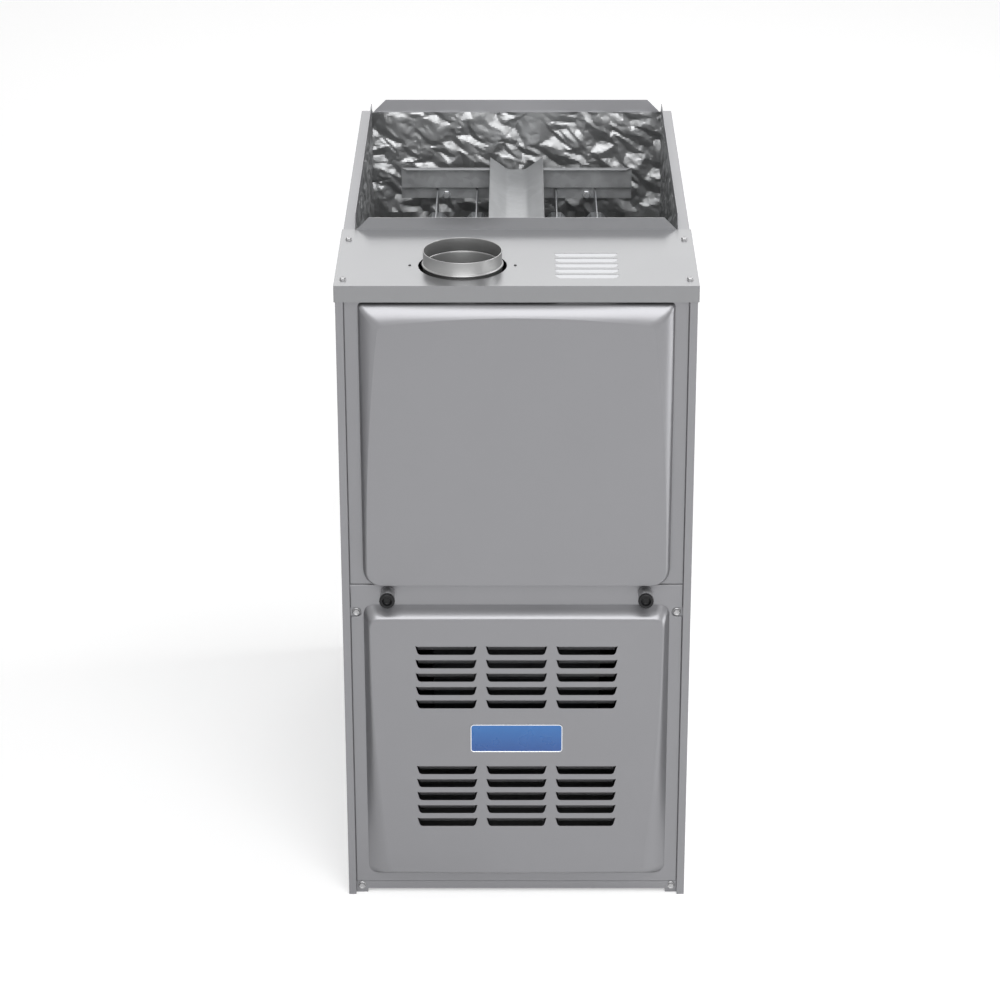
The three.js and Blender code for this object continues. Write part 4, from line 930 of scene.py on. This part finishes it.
# %% The three linings
def crumpled_lining(name, node, thin, inward, seed, rise=FOIL_RISE, higher=0.0):
    """A blanket in place of a node: crumpled on the side that faces inward, flat behind."""
    low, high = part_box(node)
    high.z += higher
    level = 1 - thin
    wide, tall = high[level] - low[level], high.z - low.z
    face, back = (high[thin], low[thin]) if inward > 0 else (low[thin], high[thin])
    across = np.linspace(0, wide, round(wide / FOIL_STEP) + 1)
    up = spaced(tall, FOIL_SHOWN, FOIL_STEP, FOIL_COARSE)
    places = np.array([(u, v) for v in up for u in across])
    depth = crumpled(places, seed)

    def placed(u, v, at):
        spot = Vector((0, 0, low.z + v))
        spot[level], spot[thin] = low[level] + u, at
        return spot

    vertices = [placed(u, v, face + inward * (rise - deep)) for (u, v), deep in zip(places, depth)]
    columns, rows = len(across), len(up)
    corners = [(r * columns + c, (r + 1) * columns + c)
               for r in range(rows - 1) for c in range(columns - 1)]
    faces = [(near, near + 1, far + 1, far) for near, far in corners]
    rim = ([c for c in range(columns)] + [r * columns + columns - 1 for r in range(1, rows)]
           + [(rows - 1) * columns + c for c in range(columns - 2, -1, -1)]
           + [r * columns for r in range(rows - 2, 0, -1)])
    start, count = len(vertices), len(rim)
    vertices += [placed(*places[i], back) for i in rim]
    faces += [(rim[k], rim[(k + 1) % count], start + (k + 1) % count, start + k)
              for k in range(count)]
    faces.append(tuple(range(start, start + count)))
    lining = outward(new_piece(name, vertices, faces, "foil_liner"))
    smooth(lining, 10)
    place_on(lining, "cabinet", "foil_liner", node)
    print(name, len(lining.data.polygons), "faces")


crumpled_lining("lining_left", "insulation_left", thin=0, inward=1, seed=11)
crumpled_lining("lining_right", "insulation_right", thin=0, inward=-1, seed=23)

BACK_RISE, BACK_HIGHER = -5.5 * MM, 2.2 * MM    # the back foil lies deeper and ends higher
crumpled_lining("lining_back", "insulation_back", thin=1, inward=-1, seed=5,
                rise=BACK_RISE, higher=BACK_HIGHER)

# %% [markdown]
# ## The trough
#
# An open trough lies over the middle cell and leads the air to the front and the back. It is
# one strip of galvanised sheet with two long folds. Its section is a path with rounded
# corners and the sheet's thickness, which runs from end to end with a faint waviness, because
# so thin a strip is never quite straight.

# %% The trough
def softened(path, reach, steps=5):
    """An open path whose corners become short curves."""
    corners = [Vector(p) for p in path]
    made = [corners[0]]
    for before, corner, after in zip(corners, corners[1:], corners[2:]):
        start = corner + (before - corner).normalized() * reach
        end = corner + (after - corner).normalized() * reach
        made += [*curve(start, corner, end, steps), end]
    return made + [corners[-1]]


def sheet_section(path, thickness):
    """A closed outline round an open path."""
    sides = []
    for i, point in enumerate(path):
        run = path[min(i + 1, len(path) - 1)] - path[max(i - 1, 0)]
        sides.append(Vector((-run.y, run.x)).normalized() * thickness / 2)
    return ([p + s for p, s in zip(path, sides)]
            + [p - s for p, s in reversed(list(zip(path, sides)))])


TROUGH_FLOOR, TROUGH_BEND, TROUGH_SHEET = 13.0, 5, 1.0
RIPPLE, RIPPLE_ALONG, RIPPLE_ACROSS = 0.25, 31, 9


def air_trough():
    low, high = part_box("air_trough")
    half = TROUGH_SHEET / 2
    edge, top, bottom = high.x / MM - half, high.z / MM, low.z / MM + half
    corners = [(-edge, top), (-TROUGH_FLOOR, bottom), (TROUGH_FLOOR, bottom), (edge, top)]
    section = sheet_section(softened(corners, TROUGH_BEND), TROUGH_SHEET)
    places = np.linspace((low.y - FRONT) / MM, (high.y - FRONT) / MM, 25)
    rings = [[p + Vector((0, RIPPLE * math.sin(y / RIPPLE_ALONG) * math.cos(p.x / RIPPLE_ACROSS)))
              for p in section] for y in places]
    sheet = Sheet()
    for near, far, y1, y2 in zip(rings, rings[1:], places, places[1:]):
        sheet.ring(near, y1, far, y2)
    sheet.flat([tuple(p) for p in rings[0]], [], places[0])
    sheet.flat([tuple(p) for p in rings[-1]], [], places[-1])
    return sheet.solid("trough", "galvanised")


place_on(air_trough(), "cabinet", "galvanised", "air_trough")

# %% [markdown]
# ## The flue collar
#
# The collar is a short pipe of sheet steel. Its mouth is rolled over so that it doesn't cut,
# and a bead runs round it just above the top panel, where the vent pipe stops. Such a shape
# is turned from one closed profile.

# %% The flue collar
def arc(across, along, radius, start, end, steps=8):
    """Points of an arc in a turned profile, between two angles in degrees."""
    return [(across + radius * math.cos(a), along + radius * math.sin(a))
            for a in np.radians(np.linspace(start, end, steps + 1))]


def scaled(profile):
    return [(radius * MM, along * MM) for radius, along in profile]


COLLAR_LOW, COLLAR_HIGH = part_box("flue_collar")
COLLAR_X = (COLLAR_LOW.x + COLLAR_HIGH.x) / 2
COLLAR_Y = (COLLAR_LOW.y + COLLAR_HIGH.y) / 2
COLLAR_OUTER, COLLAR_WALL = 49.25, 1.2
BEAD_Z, BEAD_HALF = 859.4, 2.2
BEAD_OUT, BEAD_IN = 1.7, 1.0
collar_inner = COLLAR_OUTER - COLLAR_WALL
rim_z = COLLAR_HIGH.z / MM - COLLAR_WALL / 2
collar_profile = [
    (collar_inner, COLLAR_LOW.z / MM), (COLLAR_OUTER, COLLAR_LOW.z / MM),
    (COLLAR_OUTER, BEAD_Z - BEAD_HALF), *arc(COLLAR_OUTER, BEAD_Z, BEAD_OUT, -80, 80),
    (COLLAR_OUTER, BEAD_Z + BEAD_HALF),
    *arc(COLLAR_OUTER - COLLAR_WALL / 2, rim_z, COLLAR_WALL / 2, 0, 180),
    (collar_inner, BEAD_Z + BEAD_HALF), *arc(collar_inner, BEAD_Z, BEAD_IN, 70, -70),
    (collar_inner, BEAD_Z - BEAD_HALF),
]
collar = turned("flue_collar_turned", "pipe_steel", scaled(collar_profile),
                (COLLAR_X, COLLAR_Y, 0), sides=128)
place_on(collar, "cabinet", "pipe_steel", "flue_collar")

# %% [markdown]
# ## The door knobs
#
# Two knobs hold the lower door. Each has a black head with a ribbed edge for the fingers and
# a sunk face, on a plain steel barrel whose shank reaches into the rail behind. Both are
# turned shapes, and the ribs are waves in the radius.

# %% The door knobs
def ribbed(piece, centre, count, depth, beyond):
    """Draws the points that lie beyond a radius inwards, in waves round the Y axis."""
    for vertex in piece.data.vertices:
        arm = Vector((vertex.co.x - centre[0], vertex.co.z - centre[2]))
        if arm.length > beyond:
            wave = 0.5 - 0.5 * math.cos(count * math.atan2(arm.y, arm.x))
            arm *= 1 - depth * wave / arm.length
            vertex.co.x, vertex.co.z = centre[0] + arm.x, centre[2] + arm.y
    return smooth(piece, 35)


KNOB_SHANK, KNOB_RIBS, RIB_DEPTH = 4.2, 20, 0.35 * MM
KNOB_HEAD, KNOB_OFF = 6.8, 0.3    # length of the head, and gap between barrel and door


def door_knob(side, word):
    low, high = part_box("door_knob_" + word)
    front, end = (low.y - FRONT) / MM, (high.y - FRONT) / MM
    radius = (high.x - low.x) / 2 / MM
    back = RIM_Y - KNOB_OFF
    seam = front + KNOB_HEAD
    head = [
        (0, front + 4.5), (4.4, front + 4.5), (5.0, front + 4.0), (5.7, front + 0.8),
        (6.3, front + 0.1), (radius - 1.3, front), (radius - 0.4, front + 0.4),
        (radius, front + 1.3), (radius, front + 5.5), (radius - 0.7, seam), (0, seam),
    ]
    barrel = [
        (0, seam), (radius - 0.9, seam), (radius - 0.7, seam + 0.3), (radius - 0.7, back - 2.4),
        (radius - 1.0, back - 1.2), (radius - 2, back), (KNOB_SHANK, back),
        (KNOB_SHANK, end - 0.8), (KNOB_SHANK - 0.8, end), (0, end),
    ]
    centre = (side * KNOB_X * MM, FRONT, KNOB_Z * MM)
    knob = turned("knob_" + word, "black_plastic", scaled(head), centre, "Y", sides=120)
    ribbed(knob, centre, KNOB_RIBS, RIB_DEPTH, (radius - 0.45) * MM)
    place_on(knob, "knob_" + word, "black_plastic", "door_knob_" + word)
    pin = turned("knob_barrel_" + word, "dull_steel", scaled(barrel), centre, "Y", sides=64)
    place_on(pin, "knob_" + word, "zinc_screw")


door_knob(-1, "left")
door_knob(1, "right")

# %% [markdown]
# ## Screws
#
# Sheet-metal screws with a hexagon on a round collar hold the casing together. One screw is
# modelled, and Geometry Nodes set it at each place. The places of one group form a small
# grid, so the tree needs only its width, its height and where it starts. The same head, a
# little larger, covers the two nuts of the support. Two black rivets beside the collar are
# turned.

# %% One screw head
HEAD_SIDES = 24


def hexagonal(radius, angle):
    """The distance from the middle to a hexagon's side in a direction."""
    return radius * math.cos(math.pi / 6) / math.cos(angle % (math.pi / 3) - math.pi / 6)


def screw_template(scale=1.0):
    """A head that stands on z = 0, with a short plain shank below it."""
    rings = [(-2.5, 0.0, 0), (-2.5, 1.6, 0), (0.0, 2.0, 0), (0.0, 5.2, 0), (0.4, 5.2, 0),
             (0.85, 4.6, 0), (0.85, 4.4, 1), (3.1, 4.4, 1), (3.6, 4.05, 1), (3.7, 3.3, 0),
             (3.7, 2.9, 0), (3.35, 2.4, 0), (3.3, 0.0, 0)]
    points, faces = [], []
    for along, radius, six in rings:
        for i in range(HEAD_SIDES):
            angle = 2 * math.pi * i / HEAD_SIDES
            reach = hexagonal(radius, angle) if six else radius
            point = Vector((reach * math.cos(angle), reach * math.sin(angle), along))
            points.append(point * scale * MM)
    for ring in range(len(rings) - 1):
        for i in range(HEAD_SIDES):
            a, b = ring * HEAD_SIDES + i, ring * HEAD_SIDES + (i + 1) % HEAD_SIDES
            faces.append((a, b, b + HEAD_SIDES, a + HEAD_SIDES))
    return smooth(outward(new_piece("screw_template", points, faces, "zinc_screw")), 35)


# %% Screws in a grid
def screws(name, facing, start, across, up, counts, finish="zinc_screw", scale=1.0):
    """Screws from a start, "across" and "up" apart, whose heads look along an axis."""
    tree = Arrangement(name, {"Across": abs(Vector(across).length), "Up": Vector(up).length})
    head = tree.template(screw_template(scale))
    line = tree.node("GeometryNodeMeshLine", Count=counts[0],
                     Offset=along_input(tree, "Across", across))
    column = tree.node("GeometryNodeMeshLine", Count=counts[1], Start_Location=Vector(start),
                       Offset=along_input(tree, "Up", up))
    rows = tree.node("GeometryNodeInstanceOnPoints", Points=column.outputs[0],
                     Instance=line.outputs[0])
    points = tree.node("GeometryNodeRealizeInstances", Geometry=rows.outputs[0])
    turn = Vector((0, 0, 1)).rotation_difference(Vector(facing)).to_euler()
    heads = tree.node("GeometryNodeInstanceOnPoints", Points=points.outputs[0],
                      Instance=head.outputs["Geometry"], Rotation=turn)
    made = tree.finish(name, heads.outputs[0], finish, head.inputs["Object"].default_value)
    return smooth(made, 35)


def along_input(tree, label, direction):
    """A vector whose direction is fixed and whose length is an input of the tree."""
    unit = Vector(direction).normalized() if Vector(direction).length else Vector((1, 0, 0))
    made = tree.node("ShaderNodeVectorMath", {"operation": "SCALE"})
    made.inputs[0].default_value = unit
    tree.tree.links.new(tree.value(label), made.inputs["Scale"])
    return made.outputs[0]


# %% Screws at the doors and nuts of the support
def pair(name, x, y, z, finish="zinc_screw", scale=1.0):
    """Two heads that face the front, at one height on both sides, in millimetres."""
    return screws(name, (0, -1, 0), (-x * MM, FRONT + y * MM, z * MM), (2 * x * MM, 0, 0),
                  (0, 0, 0), (2, 1), finish, scale)


SEAT_Y, STRIP_Y, LOW_SCREW_Z = 6.0, 4.7, 11.5
NUT_X, NUT_Z, NUT_SEAT, NUT_SCALE = 99.5, 756.5, 664.0, 1.25
for word, y, z in (("upper", SEAT_Y, NOTCH[1]), ("lower", STRIP_Y, LOW_SCREW_Z)):
    heads = pair(word + "_casing_screws", NOTCH[0], y, z)
    place_on(heads, "cabinet", "zinc_screw",
             "casing_screw_" + word + "_left", "casing_screw_" + word + "_right")
nuts = pair("support_nuts", NUT_X, NUT_SEAT, NUT_Z, "bright_zinc", NUT_SCALE)
place_on(nuts, "cabinet", "zinc_screw")

# %% Rivets and screws of the top panel
RIVET_APART, RIVET_RADIUS, RIVET_SIDE, RIVET_HIGH = 65.6, 1.9, 0.15, 1.2
RIVET_DEEP, RIVET_ROUND = 0.4, 1.0
surface = TOP / MM
rivet_profile = [
    (0, surface - RIVET_DEEP), (RIVET_RADIUS, surface - RIVET_DEEP),
    (RIVET_RADIUS, surface + RIVET_SIDE),
    *arc(0.7, surface + RIVET_SIDE, RIVET_ROUND, 15, 80, 4), (0, surface + RIVET_HIGH),
]
for side, word in ((-1, "left"), (1, "right")):
    rivet = turned("flue_rivet_" + word, "black_iron", scaled(rivet_profile),
                   (COLLAR_X + side * RIVET_APART * MM, COLLAR_Y, 0), sides=20)
    place_on(rivet, "cabinet", "black_iron")

TOP_SCREW_X, TOP_SCREW_NEAR, TOP_SCREW_FAR, TOP_SCREW_SCALE = 213.0, 21.7, 172.6, 0.85
corner = (-TOP_SCREW_X * MM, FRONT + TOP_SCREW_NEAR * MM, TOP)
top_screws = screws("top_panel_screws", (0, 0, 1), corner, (2 * TOP_SCREW_X * MM, 0, 0),
                    (0, (TOP_SCREW_FAR - TOP_SCREW_NEAR) * MM, 0), (2, 2), scale=TOP_SCREW_SCALE)
place_on(top_screws, "cabinet", "zinc_screw")

# %% [markdown]
# ## Folded sheet metal
#
# The casing's panels and the support have the right shape already, but their edges are
# perfectly sharp, and a real fold is round. Three modifiers mend that on the imported mesh:
# Weld joins its loose triangles, a planar Decimate clears the flat areas of needless edges,
# and Bevel rounds what is left. The back panel's coat is a brighter copy of the casing's with
# less metal in it, a painted light on its flange. The blower's housing is zinc painted dark, a
# painted shade that shows black behind the louvres.

# %% Rounded folds
FOLD_WIDTH = 0.45 * MM
FOLDED = ["side_panel_left", "side_panel_right", "back_panel", "top_panel", "base_pan",
          "cross_rail", "blower_deck", "vestibule_panel", "cell_support", "burner_shelf",
          "motor_mount", "control_tray", "collector_box"]


def rounded(part):
    part.data.shade_smooth()
    modifier(part, "WELD", merge_threshold=0.01 * MM)
    modifier(part, "DECIMATE", decimate_type="DISSOLVE", angle_limit=math.radians(0.5))
    modifier(part, "BEVEL", width=FOLD_WIDTH, segments=2, limit_method="ANGLE",
             angle_limit=math.radians(30))
    modifier(part, "WEIGHTED_NORMAL")


# Two nodes take other finishes: the back panel a painted light, the blower's housing a painted
# shade.
OWN_FINISH = {"back_panel": "back_paint_painted_light", "blower_housing": "zinc_painted_shade"}
for node, part in frame["nodes"].items():
    part.data.materials.clear()
    part.data.materials.append(FINISHES[OWN_FINISH.get(node, SLOT_OF[node])])
for node in FOLDED:
    rounded(frame["nodes"][node])
print(len(FOLDED), "parts with rounded folds")

# %% [markdown]
# ## The floor and the light
#
# The picture is a studio shot on white. The floor is a large pale sheet that keeps the
# object's soft shadow, which a small key light on the right throws to the left. A wide
# softbox above the camera lights the doors, and one at the back lights the folds of the top.
# A low one on the right gives that side of the doors its bright edges, and a grey board on
# the left, which the camera doesn't see, darkens the other side. A pale sky fills the rest.

# %% The floor
FLOOR_REACH = 14.0
FLOOR_GLOW = 0.40                 # added to the floor where it is seen, so that it looks white
SKY_LIGHT, SKY_SHOWN = 0.25, 1.0

floor_mesh = bpy.data.meshes.new("floor")
floor_mesh.from_pydata([(-FLOOR_REACH, -FLOOR_REACH, 0), (FLOOR_REACH, -FLOOR_REACH, 0),
                        (FLOOR_REACH, FLOOR_REACH, 0), (-FLOOR_REACH, FLOOR_REACH, 0)],
                       [], [(0, 1, 2, 3)])
floor = bpy.data.objects.new("floor", floor_mesh)
bpy.context.scene.collection.objects.link(floor)
floor_finish = Finish("floor", (0.82, 0.82, 0.82), 0.9)
floor_finish.set("Emission Color", (1, 1, 1, 1))


def background_only(tree):
    """1 for rays that should see the white studio, and 0 for those that carry light."""
    path = tree.nodes.new("ShaderNodeLightPath")
    total = path.outputs["Is Camera Ray"]
    for kind in ("Is Glossy Ray", "Is Transmission Ray"):
        both = tree.nodes.new("ShaderNodeMath")
        both.operation = "MAXIMUM"
        feed(tree, both.inputs[0], total)
        feed(tree, both.inputs[1], path.outputs[kind])
        total = both.outputs[0]
    return total


def whitened(tree, socket, base, extra):
    """Feeds base plus extra, the extra for background rays alone."""
    add = tree.nodes.new("ShaderNodeMath")
    add.operation = "MULTIPLY_ADD"
    for term, value in zip(add.inputs, (background_only(tree), extra, base)):
        feed(tree, term, value)
    feed(tree, socket, add.outputs[0])


whitened(floor_finish.tree, floor_finish.shader.inputs["Emission Strength"], 0.0, FLOOR_GLOW)
floor_mesh.materials.append(floor_finish.material)

# %% A dark board outside the picture
FLAG_X, FLAG_REACH, FLAG_HIGH = -1.3, 1.6, 0.6
flag_mesh = bpy.data.meshes.new("flag")
flag_mesh.from_pydata([(FLAG_X, -FLAG_REACH, 0), (FLAG_X, FLAG_REACH, 0),
                       (FLAG_X, FLAG_REACH, FLAG_HIGH), (FLAG_X, -FLAG_REACH, FLAG_HIGH)],
                      [], [(0, 1, 2, 3)])
flag = bpy.data.objects.new("flag", flag_mesh)
bpy.context.scene.collection.objects.link(flag)
flag_mesh.materials.append(grained("flag_cloth", (0.4, 0.4, 0.41), 0.9, 2 * MM, 0.2 * MM))
flag.visible_camera = False

# %% The light
def softbox(name, place, target, size, power):
    data = bpy.data.lights.new(name, "AREA")
    data.shape = "RECTANGLE"
    data.size, data.size_y = size
    data.energy = power
    lamp = bpy.data.objects.new(name, data)
    lamp.location = place
    lamp.rotation_mode = "QUATERNION"
    lamp.rotation_quaternion = (Vector(target) - Vector(place)).to_track_quat("-Z", "Y")
    bpy.context.scene.collection.objects.link(lamp)
    return lamp


softbox("key", (2.5, 0.3, 2.8), (0, 0, 0.3), (1.3, 1.3), 36)
softbox("front", (0.2, -3.1, 3.0), (0, -0.3, 0.8), (3.6, 3.4), 130)
softbox("back", (0.3, 3.2, 2.5), (0, 0.2, 0.9), (4.0, 2.0), 17)
softbox("side", (2.1, -0.5, 0.5), (0, -0.3, 0.4), (1.8, 0.9), 14)
softbox("far", (0, 5.2, 3.4), (0, 5.1, 0), (6.0, 3.0), 60)

world = bpy.data.worlds.new("studio")
world.use_nodes = True
sky = world.node_tree.nodes["Background"]
sky.inputs["Color"].default_value = (1, 1, 1, 1)
whitened(world.node_tree, sky.inputs["Strength"], SKY_LIGHT, SKY_SHOWN - SKY_LIGHT)
bpy.context.scene.world = world

# %% [markdown]
# ## Handing over
#
# The last line brings the scene's placements up to date.

# %% Handing over
bpy.context.view_layer.update()
